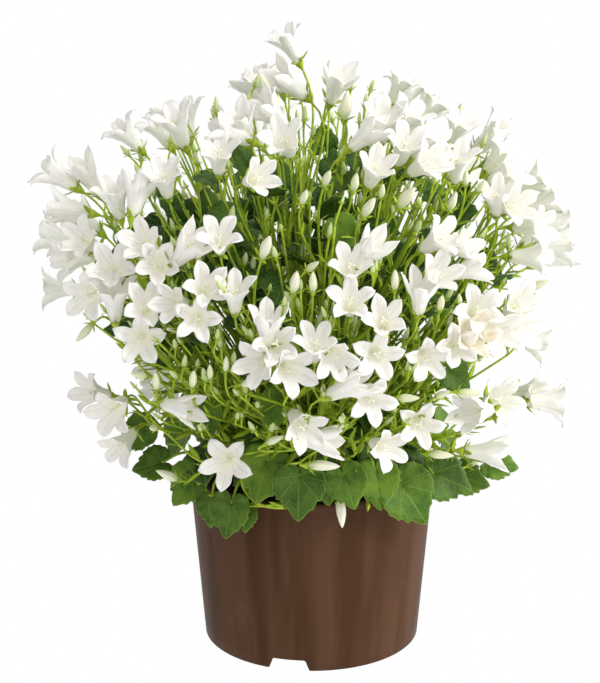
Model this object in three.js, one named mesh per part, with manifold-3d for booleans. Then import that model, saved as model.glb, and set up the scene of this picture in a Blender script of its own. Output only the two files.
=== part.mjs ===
// A white Dalmatian bellflower (Campanula) in a plain brown nursery pot.
//
// Millimetres, +Z up. The origin is on the ground under the pot's axis, and the viewer of the
// reference photograph stands on the -Y side. The pot holds a filling of potting soil, tufts of
// leafy stems stand in plain holes in the soil, and every stem forks into thin stalks that end in
// a five-pointed calyx under a white five-lobed bell, or in a bud. Bells whose lobes cross are one
// white body. Green and white bodies never touch: a bell stands a hair above its calyx.

import * as THREE from "three";
import { mergeVertices } from "three/addons/utils/BufferGeometryUtils.js";
import Module from "manifold-3d";

const wasm = await Module();
wasm.setup();

// Driving dimensions

const clearance = 0.35; // between neighbouring bodies
const pot = {
  height: 88,
  rimRadius: 60,
  footRadius: 52.5,
  wall: 1.6,
  floorHeight: 6,
  floorThickness: 1.6,
  lipReach: 0.9,
  lipHeight: 3,
  sides: 32,
};
const notch = { count: 3, firstDegrees: -12, footWidth: 20.5, topWidth: 15.5, height: 5.4 };
const drain = { count: 4, radius: 4.5, ringRadius: 34, sides: 6 };
const soil = { surface: 79, mound: 2.5, crumb: 1.1, sides: 18, holeSides: 6, seed: 7 };
const bell = {
  tubeLength: 13,
  throatRadius: 6.6,
  tongueThickness: 1.3,
  tongueRise: 0.8, // of a tongue's inner root above the throat
  lobeHalfWidth: 4.7,
  bellyRise: 0.58, // of a lobe's widest part, as a share of its rise
  ovateFrom: 0.9, // share of opening
  wideTip: { radius: 13.6, height: 16.4 }, // of a lobe that is wide open
  shutTip: { radius: 7.6, height: 24.5 }, // of a lobe that has hardly opened
  tipGrowth: 0.35, // share of a lobe's reach, for each millimetre that a bell grows
  floorHeight: 4.5, // of the hollow's lowest point above the base
};
const settle = {
  reach: 40, // between the mouths of two bells that may lean on each other
  overlap: 0.25, // cubic millimetres that hold two bells together as one body
  towards: [0, 1.5, 3, 4.5, 6, 7.5], // moves tried towards a neighbour
  along: [0, 1.5, -1.5, 3, -3, 4.5, -4.5], // and along the bell's own axis
  neighbours: 3, // that a bell may be moved towards
  ownNodes: 9, // bells that still stand alone and are a node of their own
};
const calyx = {
  sepalReach: 5.6,
  sepalLift: 1.3, // of a sepal's tip above the bell's base
  waist: 1.9, // radius between two sepals
  waistDrop: 0.9,
  depth: 4.2, // of the top of the stalk below the bell's base
  gap: 0.4,
};
const bud = { length: 12, radius: 2.2, widest: 0.42 };
const stem = {
  thick: 1.4, // radii: of a stem,
  thin: 0.8, // of a stalk,
  knot: 1.2, // and of the knot at a fork
  hookBelow: 0.05, // a head that faces further back along its stalk than this hangs from a hook
  hook: 4, // the hook's straight end
};
const knot = { heights: [0.6, 0.9, 1.3, 1.8], turnStep: 10 }; // tried for the best fit
const twistSlack = 0.15; // radians that a ring may lie ahead of the ring below it
const tuft = {
  count: 7, // round one in the middle
  ring: 30,
  firstDegrees: 13,
  lean: 25, // degrees above level that an outer tuft grows towards
  base: 3.4, // radius
  top: 11, // above the soil
  sunk: 9, // in the soil
};
const spray = {
  most: 3, // heads on one stem
  reach: 50, // between the heads of one stem
  forkAt: 0.66, // share of the way to the heads
  kneeRise: 0.16, // by the level way to the fork
  overRim: 12, // that a stem passes above the pot's rim
};const leaf = { length: 23, halfWidth: 10.4, thickness: 1.3, fold: 1.6, stalk: 0.9, lean: 0.35 };

// The plant's dome: the middles of the bells' mouths lie on this ellipsoid.
const dome = { centre: new THREE.Vector3(-2, 0, 180), radius: new THREE.Vector3(121, 117, 101) };
const innerDome = { centre: dome.centre, radius: dome.radius.clone().multiplyScalar(0.84) };
const crown = new THREE.Vector3(0, 0, 85); // the stems fan out from about here
const smallestTuft = 500; // cubic millimetres
const skirtRadius = [65.5, 70.5]; // rim leaves hang on one of these two cylinders

// The reference photograph: its size and focal length in pixels, and where it was taken from.
const photo = { width: 600, height: 683, focal: 2299 };
const eye = new THREE.Vector3(0, -1057.4, 468.2);
const aim = new THREE.Vector3(-5.7, 0, 148.6);

// Bells seen in the photograph: pixel across and down of the mouth's middle, the way the bell
// faces (degrees to the right of the viewer, degrees above level), and how far it has opened.
const seenBells = [
  [287, 40, -75, 62, 0.8], [285, 80, -60, 40, 0.3], [270, 108, -70, 45, 0.6],
  [283, 140, -20, 40, 0.7], [225, 130, -85, 25, 0.6], [240, 121, -40, 60, 0.5],
  [175, 122, -50, 65, 0.7], [124, 131, -80, 50, 0.9], [216, 160, 0, 60, 0.8],
  [172, 172, -15, 60, 0.7], [52, 172, -85, 35, 0.8], [85, 172, -70, 60, 0.4],
  [62, 208, -95, 10, 0.7], [115, 197, -30, 70, 0.7], [138, 190, 160, 60, 0.6],
  [258, 178, 30, 20, 0.6], [228, 228, 0, 45, 0.9], [338, 80, 30, 60, 0.4],
  [402, 82, 60, 60, 0.8], [371, 132, 75, 40, 0.3], [405, 144, 20, 55, 0.8],
  [384, 119, 10, 60, 0.5], [412, 117, 60, 60, 0.7], [433, 139, 60, 50, 0.6],
  [427, 163, 40, 30, 0.6], [460, 125, 40, 60, 0.8], [457, 160, 0, 65, 0.7],
  [500, 143, 60, 50, 0.9], [511, 172, 50, 30, 0.7], [491, 190, -10, 60, 0.5],
  [538, 180, 70, 30, 0.7], [515, 206, 30, 20, 0.6], [548, 201, 85, 25, 0.8],
  [560, 224, 95, 10, 0.6], [534, 227, 50, 10, 0.7], [376, 168, 20, 50, 0.5],
  [441, 238, 50, 35, 0.8], [464, 246, 60, 20, 0.7], [474, 268, 80, 20, 0.6],
  [50, 236, -90, 15, 0.8], [88, 230, -30, 30, 0.7], [69, 259, -60, 0, 0.8],
  [143, 243, -20, 30, 0.6], [190, 246, 50, 45, 0.3], [158, 264, 0, 20, 0.6],
  [52, 290, -85, 0, 0.9], [85, 294, -20, 5, 1], [113, 268, -10, 35, 0.8],
  [114, 294, 0, 75, 0.7], [142, 305, 5, 30, 0.8], [140, 349, 0, 10, 1],
  [197, 319, 0, 15, 1], [207, 284, 10, 30, 0.8], [173, 303, -25, 15, 0.6],
  [241, 290, 0, 65, 0.6], [268, 322, 15, 70, 0.4], [276, 344, 0, 20, 0.8],
  [259, 363, -30, 5, 0.7], [291, 370, 20, 5, 0.8], [90, 392, -50, 20, 0.8],
  [112, 411, -20, -5, 0.9], [184, 408, 60, 0, 0.3], [121, 446, -30, -20, 0.7],
  [226, 462, -5, 12, 1], [295, 422, 20, -10, 0.6], [351, 262, 0, 45, 0.6],
  [350, 301, 0, 40, 0.9], [386, 240, 55, 50, 0.3], [537, 257, 70, 5, 0.8],
  [559, 249, 95, 5, 0.8], [421, 290, 10, 70, 0.4], [438, 275, 30, 40, 0.6],
  [478, 310, 10, 25, 1], [520, 303, 30, 35, 0.8], [315, 343, 0, 55, 0.8],
  [384, 320, 0, 35, 0.6], [377, 355, 5, 10, 1], [421, 366, 10, 0, 1],
  [457, 346, 5, 15, 0.8], [473, 334, 20, 20, 0.7], [496, 331, 20, 10, 0.7],
  [519, 330, 40, 10, 0.8], [539, 346, 70, -10, 0.7], [337, 359, 10, -10, 0.6],
  [371, 400, 10, 5, 1], [353, 384, 70, 30, 0.3], [424, 425, 5, 5, 1],
  [474, 412, -40, 10, 0.3], [499, 400, 25, 20, 0.9], [533, 393, 50, 10, 0.8],
  [554, 402, 85, 0, 0.8], [386, 448, 30, 5, 0.9], [324, 441, 80, 0, 0.3],
  [492, 453, 80, 0, 0.4],
];

// Buds seen in the photograph: pixel of the middle, the way it points, and its share of full size.
const seenBuds = [
  [265, 84, -60, 60, 1], [329, 72, 10, 75, 1], [346, 105, 15, 70, 1.25], [366, 100, 30, 75, 0.6],
  [304, 197, 20, 50, 0.8], [327, 178, 20, 50, 0.9], [355, 182, 15, 60, 0.9],
  [369, 207, 35, 50, 1.1], [407, 197, 35, 45, 1.3], [382, 191, 10, 60, 0.7],
  [466, 178, 0, 70, 0.7], [481, 186, 35, 50, 0.7], [453, 201, 30, 60, 0.9],
  [266, 247, 25, 55, 1.2], [156, 381, 0, 65, 0.9], [139, 375, -50, 20, 0.8],
  [193, 379, 10, 60, 0.9], [210, 372, 0, 70, 0.7], [226, 364, 10, 70, 0.7],
  [249, 383, 50, 20, 0.8], [153, 428, -20, 20, 0.7], [275, 440, 70, 30, 0.8],
  [295, 282, 15, 60, 1.1], [84, 333, -60, -40, 0.9], [313, 282, 0, 70, 0.9],
  [313, 266, 40, 35, 0.8], [395, 280, 0, 70, 0.9], [441, 303, 10, 60, 0.8],
  [538, 285, 60, 30, 1], [409, 398, 60, 10, 0.9], [443, 394, 40, 30, 0.8],
  [470, 393, 80, 0, 0.9], [441, 455, 80, 0, 1], [324, 466, 85, 0, 1.2],
  [167, 475, -60, 30, 1.1],
];

// Leaves seen at the rim: pixel of the blade's middle, the turn of its tip from straight down
// (degrees, to the right), its share of full size, and which cylinder it hangs on.
const seenLeaves = [
  [131, 438, -50, 1.05, 1], [146, 466, -75, 0.95, 0], [192, 489, -20, 1.1, 0],
  [213, 514, 10, 0.8, 0], [229, 521, 0, 1.05, 1], [247, 521, 8, 0.65, 0],
  [264, 480, -10, 1.3, 0], [299, 498, 0, 1.3, 1], [326, 491, 10, 0.8, 0],
  [349, 492, 15, 1.05, 1], [375, 489, 0, 1.15, 0], [411, 503, 25, 1.45, 1],
  [436, 478, 60, 1.3, 0], [475, 481, 70, 1, 1], [505, 465, 80, 0.9, 0],
];

// Larger leaves seen among the stems: pixel of the middle, turn of the tip, share of full size.
const seenInnerLeaves = [
  [209, 421, 30, 0.85], [272, 415, -25, 0.9], [460, 380, 40, 0.85], [345, 236, 25, 0.75],
];

const unseen = {
  seed: 29,
  behind: 1.06, // share by which the dome reaches further back than forward
  sprays: 44, // directions tried over the whole dome, of which the unseen ones are kept
  spacing: 28, // least distance from a spray's middle to the mouth of any earlier bell
  lowest: -0.72, // sine of the lowest direction, seen from the dome's middle
  frontmost: 14, // y: bells are added behind this plane only
  bellsToSpray: 3,
  sprayRadius: 9.8, // from the spray's middle to the middle of each mouth
  fanDegrees: 12, // each bell leans away from the spray's middle
  rimLeaves: 11,
};

// Basic helpers

// A repeatable draw: each call gives the next number from 0 to 1.
function seededDraw(seed) {
  let state = seed;
  return () => {
    state = (state * 1664525 + 1013904223) % 4294967296;
    return state / 4294967296;
  };
}

const radians = THREE.MathUtils.degToRad;
const vector = (x, y, z) => new THREE.Vector3(x, y, z);
const mix = (a, b, share) => a + (b - a) * share;
const between = (a, b, share) => a.clone().lerp(b, share);
const ringPoint = (radius, angle, height) =>
  vector(radius * Math.cos(angle), radius * Math.sin(angle), height);
const ringOf = (count, radius, height) =>
  Array.from({ length: count }, (_, k) => ringPoint(radius, (2 * Math.PI * k) / count, height));

// The unit vector that faces right degrees to the right of the viewer and up degrees above level.
function facing(right, up) {
  const [r, u] = [radians(right), radians(up)];
  return vector(Math.sin(r) * Math.cos(u), -Math.cos(r) * Math.cos(u), Math.sin(u));
}

// Solids

function solidOf(geometry) {
  const bare = geometry.clone();
  for (const name of Object.keys(bare.attributes)) {
    if (name !== "position") bare.deleteAttribute(name);
  }
  const merged = mergeVertices(bare, 1e-4);
  return new wasm.Manifold(
    new wasm.Mesh({
      numProp: 3,
      vertProperties: merged.attributes.position.array,
      triVerts: new Uint32Array(merged.index.array),
    }),
  );
}

function geometryOf(solid) {
  const { numProp, numVert, vertProperties, triVerts } = solid.getMesh();
  const positions = new Float32Array(numVert * 3);
  for (let i = 0; i < numVert; i++) {
    positions.set(vertProperties.subarray(i * numProp, i * numProp + 3), i * 3);
  }
  const geometry = new THREE.BufferGeometry();
  geometry.setAttribute("position", new THREE.BufferAttribute(positions, 3));
  geometry.setIndex(new THREE.BufferAttribute(triVerts, 1));
  geometry.computeVertexNormals();
  return geometry;
}

// A closed body from corner points and triangles of their indices.
function polyhedron(points, triangles) {
  const geometry = new THREE.BufferGeometry();
  geometry.setFromPoints(points);
  geometry.setIndex(triangles.flat());
  return solidOf(geometry);
}

const union = (solids) => wasm.Manifold.union(solids);
const bodiesBySize = (solid) => solid.decompose().sort((a, b) => b.volume() - a.volume());
const meets = (a, b) => a.intersect(b).numTri() > 0;

// Stands a shape that was drawn along +Z at a place, pointing along an axis, rolled about it.
function placement(place, axis, roll, size) {
  const turn = new THREE.Quaternion().setFromUnitVectors(vector(0, 0, 1), axis);
  turn.multiply(new THREE.Quaternion().setFromAxisAngle(vector(0, 0, 1), roll));
  return new THREE.Matrix4().compose(place, turn, vector(size, size, size));
}

// Triangles between two rings of corners, whose first corners face the same way.
function bridge(lower, lowerCount, upper, upperCount) {
  const triangles = [];
  const lowerSteps = lowerCount === 1 ? 0 : lowerCount;
  const upperSteps = upperCount === 1 ? 0 : upperCount;
  let [i, j] = [0, 0];
  while (i < lowerSteps || j < upperSteps) {
    const [a, b] = [lower + (i % lowerCount), upper + (j % upperCount)];
    const lowerIsBehind = i < lowerSteps && (i + 1) * upperSteps <= (j + 1) * lowerSteps;
    if (j === upperSteps || lowerIsBehind) {
      i += 1;
      triangles.push([a, lower + (i % lowerCount), b]);
    } else {
      j += 1;
      triangles.push([a, upper + (j % upperCount), b]);
    }
  }
  return triangles;
}

// The wall through rings of points, from the root to the last ring, and the cap at the root. A
// ring of one point is a tip.
function loftTriangles(rings) {
  const triangles = [];
  let start = 0;
  for (let r = 0; r + 1 < rings.length; r++) {
    const next = start + rings[r].length;
    triangles.push(...bridge(start, rings[r].length, next, rings[r + 1].length));
    start = next;
  }
  for (let k = 2; k < rings[0].length; k++) triangles.push([0, k, k - 1]);
  return triangles;
}

// A closed body through rings of points.
function loft(rings) {
  const triangles = loftTriangles(rings);
  const last = rings.flat().length - rings.at(-1).length;
  for (let k = 2; k < rings.at(-1).length; k++) triangles.push([last, last + k - 1, last + k]);
  return polyhedron(rings.flat(), triangles);
}

// Rings of three corners round the points of a path, turned so that the first corner of the last
// ring faces the given way. A radius of 0 makes a tip.
function stemRings(points, radii, faceWay) {
  const rings = [];
  const along = points.map((_, i) => {
    const ahead = points[Math.min(i + 1, points.length - 1)];
    return ahead.clone().sub(points[Math.max(i - 1, 0)]).normalize();
  });
  const side = faceWay.clone().projectOnPlane(along.at(-1)).normalize();
  for (let i = points.length - 1; i >= 0; i--) {
    const last = along[Math.min(i + 1, points.length - 1)];
    side.applyQuaternion(new THREE.Quaternion().setFromUnitVectors(last, along[i]));
    const over = along[i].clone().cross(side);
    const corners = ringOf(radii[i] ? 3 : 1, radii[i], 0).map(({ x, y }) =>
      points[i].clone().addScaledVector(side, x).addScaledVector(over, y),
    );
    rings.unshift(corners);
  }
  return rings;
}

// The same ring, starting from the corner that lies nearest behind the first corner of another,
// as seen along the way from one to the other. The wall between the two then never folds inwards.
function turnedTo(ring, other) {
  const middle = (corners) =>
    corners.reduce((sum, corner) => sum.add(corner), vector(0, 0, 0)).divideScalar(corners.length);
  const [centre, otherCentre] = [middle(ring), middle(other)];
  const along = otherCentre.clone().sub(centre).normalize();
  const way = other[0].clone().sub(otherCentre).projectOnPlane(along);
  const turnOf = (corner) => {
    const out = corner.clone().sub(centre).projectOnPlane(along);
    const turn = Math.atan2(along.dot(out.clone().cross(way)), out.dot(way)) + twistSlack;
    return turn < 0 ? turn + 2 * Math.PI : turn;
  };
  const first = ring.indexOf(ring.reduce((a, b) => (turnOf(b) < turnOf(a) ? b : a)));
  return [...ring.slice(first), ...ring.slice(0, first)];
}

// A blade with sharp edges: an outline, and a point above and below its middle.
function blade(outline, top, bottom) {
  const n = outline.length;
  const triangles = outline.flatMap((_, i) => [
    [i, (i + 1) % n, n],
    [(i + 1) % n, i, n + 1],
  ]);
  return polyhedron([...outline, top, bottom], triangles);
}

// The pot and its soil

function outerRadius(height) {
  return mix(pot.footRadius, pot.rimRadius, height / pot.height);
}

function lathe(profile, sides) {
  const points = profile.map(([radius, height]) => new THREE.Vector2(radius, height));
  return new THREE.LatheGeometry(points, sides).rotateX(Math.PI / 2);
}

function footNotch(turn) {
  const shape = new THREE.Shape();
  shape.moveTo(-notch.footWidth / 2, -1);
  shape.lineTo(notch.footWidth / 2, -1);
  shape.lineTo(notch.topWidth / 2, notch.height);
  shape.lineTo(-notch.topWidth / 2, notch.height);
  const geometry = new THREE.ExtrudeGeometry(shape, { depth: 12, bevelEnabled: false });
  geometry.rotateX(Math.PI / 2);
  geometry.translate(0, 6 - pot.footRadius, 0);
  geometry.rotateZ(turn);
  return solidOf(geometry);
}

function drainHole(turn) {
  const geometry = new THREE.CylinderGeometry(drain.radius, drain.radius, 8, drain.sides);
  geometry.rotateX(Math.PI / 2);
  const middle = ringPoint(drain.ringRadius, turn, pot.floorHeight);
  return solidOf(geometry.translate(middle.x, middle.y, middle.z));
}

function makePot() {
  const floorTop = pot.floorHeight + pot.floorThickness;
  const skirtInside = pot.footRadius - pot.wall;
  const lipFoot = pot.height - pot.lipHeight;
  const shell = lathe(
    [
      [0, pot.floorHeight],
      [skirtInside, pot.floorHeight],
      [skirtInside, 0],
      [pot.footRadius, 0],
      [outerRadius(lipFoot), lipFoot],
      [pot.rimRadius + pot.lipReach, lipFoot + 0.8],
      [pot.rimRadius + pot.lipReach, pot.height],
      [pot.rimRadius - pot.wall, pot.height],
      [outerRadius(floorTop) - pot.wall, floorTop],
      [0, floorTop],
    ],
    pot.sides,
  );
  const cuts = [];
  for (let i = 0; i < notch.count; i++) {
    cuts.push(footNotch(radians(notch.firstDegrees) + (2 * Math.PI * i) / notch.count));
  }
  for (let i = 0; i < drain.count; i++) {
    cuts.push(drainHole(Math.PI / 4 + (2 * Math.PI * i) / drain.count));
  }
  return solidOf(shell).subtract(union(cuts));
}

// A filling with a rough mound on top; its side follows the pot's wall, and each tuft has a hole.
function makeSoil(feet) {
  const draw = seededDraw(soil.seed);
  const play = (pot.wall + clearance) / Math.cos(Math.PI / soil.sides);
  const inside = (height) => outerRadius(height) - play;
  const bottom = pot.floorHeight + pot.floorThickness + clearance;
  const rim = inside(soil.surface);
  const rings = [
    [vector(0, 0, bottom)],
    ringOf(soil.sides, inside(bottom), bottom),
    ringOf(soil.sides, rim, soil.surface),
    ...[0.84, 0.55].map((share) =>
      ringOf(soil.sides / 2, rim * share, soil.surface + soil.mound).map((point) =>
        point.setZ(point.z + soil.crumb * (2 * draw() - 1)),
      ),
    ),
    [vector(0, 0, soil.surface + soil.mound)],
  ];
  const holes = feet.map(({ x, y }) => {
    const radius = (tuft.base + clearance) / Math.cos(Math.PI / soil.holeSides);
    const depth = tuft.sunk + clearance;
    const hole = new THREE.CylinderGeometry(radius, radius, 2 * depth, soil.holeSides);
    return solidOf(hole.rotateX(Math.PI / 2).translate(x, y, soil.surface));
  });
  return loft(rings).subtract(union(holes));
}

// Where things are

function rayThrough(across, down) {
  const ahead = aim.clone().sub(eye).normalize();
  const right = ahead.clone().cross(vector(0, 0, 1)).normalize();
  const upward = right.clone().cross(ahead);
  return ahead
    .addScaledVector(right, (across - photo.width / 2) / photo.focal)
    .addScaledVector(upward, -(down - photo.height / 2) / photo.focal)
    .normalize();
}

// Where the ray first meets an ellipsoid, or comes nearest to its middle.
function meet(direction, { centre, radius }) {
  const start = eye.clone().sub(centre).divide(radius);
  const step = direction.clone().divide(radius);
  const [a, b, c] = [step.dot(step), start.dot(step), start.dot(start) - 1];
  const root = Math.sqrt(Math.max(b * b - a * c, 0));
  return eye.clone().addScaledVector(direction, (-b - root) / a);
}

// Where the ray first meets an upright cylinder about the pot's axis, or passes beside it.
function meetCylinder(direction, radius) {
  const a = direction.x ** 2 + direction.y ** 2;
  const b = eye.x * direction.x + eye.y * direction.y;
  const c = eye.x ** 2 + eye.y ** 2 - radius ** 2;
  const root = Math.sqrt(Math.max(b * b - a * c, 0));
  return eye.clone().addScaledVector(direction, (-b - root) / a);
}

// Rolls a bell so that one of its lobes points at a place.
function rollTowards(axis, from, to) {
  const turn = new THREE.Quaternion().setFromUnitVectors(axis, vector(0, 0, 1));
  const way = to.clone().sub(from).applyQuaternion(turn);
  return Math.atan2(way.y, way.x) - Math.PI / 5;
}

// Sprays of three bells where the photograph doesn't reach, on spots spread over the dome.
function listUnseenBells(seen) {
  const draw = seededDraw(unseen.seed);
  const bells = [];
  for (let i = 0; i < unseen.sprays; i++) {
    const height = mix(unseen.lowest, 0.97, (i + 0.5) / unseen.sprays);
    const turn = i * Math.PI * (3 - Math.sqrt(5)) + 0.5 * draw();
    const out = ringPoint(Math.sqrt(1 - height * height), turn, height);
    const middle = out.clone().multiply(dome.radius).add(dome.centre);
    middle.y *= unseen.behind;
    const lean = vector(draw() - 0.5, draw() - 0.5, 0.3 + 0.5 * draw());
    const start = 2 * Math.PI * draw();
    const near = [...seen, ...bells].some(({ mouth }) => mouth.distanceTo(middle) < unseen.spacing);
    if (near || middle.y < unseen.frontmost) continue;
    const up = out.clone().add(lean).normalize();
    const flat = placement(middle, up, start, 1);
    for (let k = 0; k < unseen.bellsToSpray; k++) {
      const aside = ringPoint(unseen.sprayRadius, (2 * Math.PI * k) / unseen.bellsToSpray, 0);
      const way = aside.clone().transformDirection(flat);
      const axis = up.clone().addScaledVector(way, Math.tan(radians(unseen.fanDegrees)));
      const [open, size] = [0.4 + 0.6 * draw(), 0.9 + 0.16 * draw()];
      bells.push({ mouth: aside.applyMatrix4(flat), axis: axis.normalize(), open, size });
    }
  }
  return bells;
}

function listBuds() {
  return seenBuds.map(([across, down, right, up, size]) => {
    const axis = facing(right, up);
    const middle = meet(rayThrough(across, down), dome);
    const base = middle.addScaledVector(axis, -0.5 * bud.length * size);
    return { bud: true, base, axis, size, matrix: placement(base, axis, 0, size) };
  });
}

function listBells() {
  const draw = seededDraw(unseen.seed);
  const bells = seenBells.map(([across, down, right, up, open]) => ({
    mouth: meet(rayThrough(across, down), dome),
    axis: facing(right, up),
    open,
    size: 0.9 + 0.16 * draw(),
  }));
  bells.push(...listUnseenBells(bells));
  for (const one of bells) {
    const distance = (other) => (other === one ? Infinity : other.mouth.distanceTo(one.mouth));
    one.neighbours = bells.toSorted((a, b) => distance(a) - distance(b)).slice(0, settle.neighbours);
    placeBell(one, one.neighbours[0], vector(0, 0, 0));
  }
  return bells;
}

// Sets a bell's base, matrix and solid, with its mouth moved aside and a lobe to its neighbour.
function placeBell(one, neighbour, move) {
  const mouth = one.mouth.clone().add(move);
  one.base = mouth.clone().addScaledVector(one.axis, -bell.tubeLength * one.size);
  const roll = rollTowards(one.axis, mouth, neighbour.mouth);
  one.matrix = placement(one.base, one.axis, roll, one.size);
  one.solid = bellSolid(one);
}

// The bells that a bell crosses.
function leansOn(one, bells) {
  return bells.filter(
    (other) =>
      other !== one &&
      other.mouth.distanceTo(one.mouth) < settle.reach &&
      one.solid.intersect(other.solid).volume() > settle.overlap,
  );
}

// Moves the bells that stand alone a little, so that most of them lean on a neighbour.
function leanTogether(bells) {
  for (const one of bells) {
    if (leansOn(one, bells).length) continue;
    const tries = one.neighbours.flatMap((neighbour) =>
      settle.towards.flatMap((near) => settle.along.map((along) => ({ neighbour, near, along }))),
    );
    tries.sort((a, b) => Math.hypot(a.near, a.along) - Math.hypot(b.near, b.along));
    const found = tries.some(({ neighbour, near, along }) => {
      const move = neighbour.mouth.clone().sub(one.mouth).normalize().multiplyScalar(near);
      placeBell(one, neighbour, move.addScaledVector(one.axis, along));
      return leansOn(one, bells).length > 0;
    });
    if (!found) placeBell(one, one.neighbours[0], vector(0, 0, 0));
  }
}

// White bells

// The corners and triangles of a bell without the closing at its base, drawn along +Z. The first
// five corners are the notches of the throat. Each lobe is a pointed tongue between two of them,
// and a lobe that is spread wide shows its full ovate outline. A bell that grows is thicker all
// round and filled to its mouth, for cutting its neighbours clear.
function bellCorners(open, grow) {
  const { tubeLength, throatRadius, tongueThickness, wideTip, shutTip } = bell;
  const reach = 1 + bell.tipGrowth * grow;
  const tip = {
    radius: mix(throatRadius, mix(shutTip.radius, wideTip.radius, open), reach),
    height: mix(tubeLength, mix(shutTip.height, wideTip.height, open), reach),
  };
  const floorHeight = grow ? tubeLength : bell.floorHeight;
  const points = [...ringOf(5, throatRadius + grow, tubeLength), vector(0, 0, floorHeight)];
  const floor = 5;
  const triangles = [];
  for (let k = 0; k < 5; k++) {
    const middle = (2 * Math.PI * (k + 0.5)) / 5;
    const [notchA, notchB, inner] = [k, (k + 1) % 5, points.length];
    const [end, sideA, sideB] = [inner + 1, inner + 2, inner + 3];
    points.push(
      ringPoint(throatRadius - tongueThickness - grow, middle, tubeLength + bell.tongueRise),
      ringPoint(tip.radius, middle, tip.height),
    );
    triangles.push([floor, notchA, inner], [floor, inner, notchB]);
    if (open >= bell.ovateFrom) {
      const radius = mix(throatRadius, tip.radius, 0.5);
      const belly = ringPoint(radius, middle, mix(tubeLength, tip.height, bell.bellyRise));
      const aside = ringPoint(bell.lobeHalfWidth + grow, middle + Math.PI / 2, 0);
      points.push(belly.clone().sub(aside), belly.clone().add(aside));
      triangles.push(
        [notchA, notchB, sideB], [notchA, sideB, sideA], [sideA, sideB, end],
        [inner, notchA, sideA], [inner, sideA, end], [inner, end, sideB], [inner, sideB, notchB],
      );
    } else {
      triangles.push([notchA, notchB, end], [inner, notchA, end], [inner, end, notchB]);
    }
  }
  return { points, triangles };
}

// A bell that tapers to a point at its base.
function bellSolid({ open, matrix }, grow = 0) {
  const { points, triangles } = bellCorners(open, grow);
  const base = points.length;
  points.push(vector(0, 0, 0));
  for (let k = 0; k < 5; k++) triangles.push([base, (k + 1) % 5, k]);
  return polyhedron(points.map((point) => point.applyMatrix4(matrix)), triangles);
}

// Green parts

// The outline of a calyx, a five-pointed star of sepals: a tip, the waist beside it, and so on.
function calyxStar({ matrix }) {
  const star = [];
  for (let k = 0; k < 5; k++) {
    const turn = (2 * Math.PI * k) / 5;
    star.push(ringPoint(calyx.sepalReach, turn, calyx.sepalLift));
    star.push(ringPoint(calyx.waist, turn + Math.PI / 5, -calyx.waistDrop));
  }
  return star.map((point) => point.applyMatrix4(matrix));
}

// The rings of a bud, a five-sided spindle.
function budRings({ matrix }) {
  const spindle = [ringOf(5, bud.radius, bud.length * bud.widest), [vector(0, 0, bud.length)]];
  return spindle.map((ring) => ring.map((point) => point.applyMatrix4(matrix)));
}

// A stalk through the given rings and points, which ends in its head: a bud, a calyx just under
// a bell, or a calyx with a bell of its own that leans on no other.
function stalkTo(head, startRings, points, radii) {
  const faceWay = vector(1, 0, 0).transformDirection(head.matrix);
  const sunk = head.bud ? -1 : -calyx.depth;
  const end = head.base.clone().addScaledVector(head.axis, sunk * head.size);
  const way = end.clone().sub(points.at(-1)).normalize();
  const bend = end.clone().addScaledVector(head.axis, -stem.hook);
  const hooked = way.dot(head.axis) < stem.hookBelow ? [bend] : [];
  const thin = hooked.map(() => stem.thin);
  const rings = stemRings([...points, ...hooked, end], [...radii, ...thin, stem.thin], faceWay);
  if (startRings.length) rings[0] = turnedTo(startRings[0], rings[1]);
  if (head.bud) return loft([...rings, ...budRings(head)]);
  const star = calyxStar(head);
  const top = vector(0, 0, -calyx.gap / head.size).applyMatrix4(head.matrix);
  return head.onStalk ? stalkWithBell([...rings, star], head) : loft([...rings, star, [top]]);
}

// The same with the bell grown on: its tube starts from the waists of the star.
function stalkWithBell(rings, { open, matrix }) {
  const { points, triangles } = bellCorners(open, 0);
  const lower = loftTriangles(rings);
  const start = rings.flat().length - 10;
  const bellStart = rings.flat().length;
  const [tip, waist] = [(k) => start + 2 * (k % 5), (k) => start + 2 * (k % 5) + 1];
  const throat = (k) => bellStart + (k % 5);
  const joins = [0, 1, 2, 3, 4].flatMap((k) => [
    [tip(k + 1), waist(k + 1), waist(k)],
    [waist(k), throat(k + 1), throat(k)],
    [waist(k), waist(k + 1), throat(k + 1)],
  ]);
  const upper = triangles.map((corners) => corners.map((corner) => corner + bellStart));
  const placed = points.map((point) => point.applyMatrix4(matrix));
  return polyhedron([...rings.flat(), ...placed], [...lower, ...joins, ...upper]);
}

// A heart-shaped toothed blade from base to tip, folded a little along its middle.
// Half of the outline: share of the length, share of the half width.
const heartOutline = [
  [-0.09, 0.36], [0.03, 0.84], [0.18, 0.86], [0.26, 1], [0.42, 0.84], [0.5, 0.84],
  [0.66, 0.5], [0.75, 0.46],
];

function leafSolid({ base, along, outward, size }) {
  const side = along.clone().cross(outward).normalize();
  const face = side.clone().cross(along).normalize();
  const place = (length, width, height) =>
    base
      .clone()
      .addScaledVector(along, length * leaf.length * size)
      .addScaledVector(side, width * leaf.halfWidth * size)
      .addScaledVector(face, height);
  const lift = (width) => leaf.fold * Math.abs(width);
  const oneSide = heartOutline.map(([length, width]) => place(length, width, lift(width)));
  const otherSide = heartOutline.map(([length, width]) => place(length, -width, lift(width)));
  const outline = [place(0.06, 0, 0), ...oneSide, place(1, 0, -1), ...otherSide.reverse()];
  const half = leaf.thickness / 2;
  return blade(outline, place(0.4, 0, half), place(0.4, 0, -half));
}

// Tufts: stems that grow from one point of the soil

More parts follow.
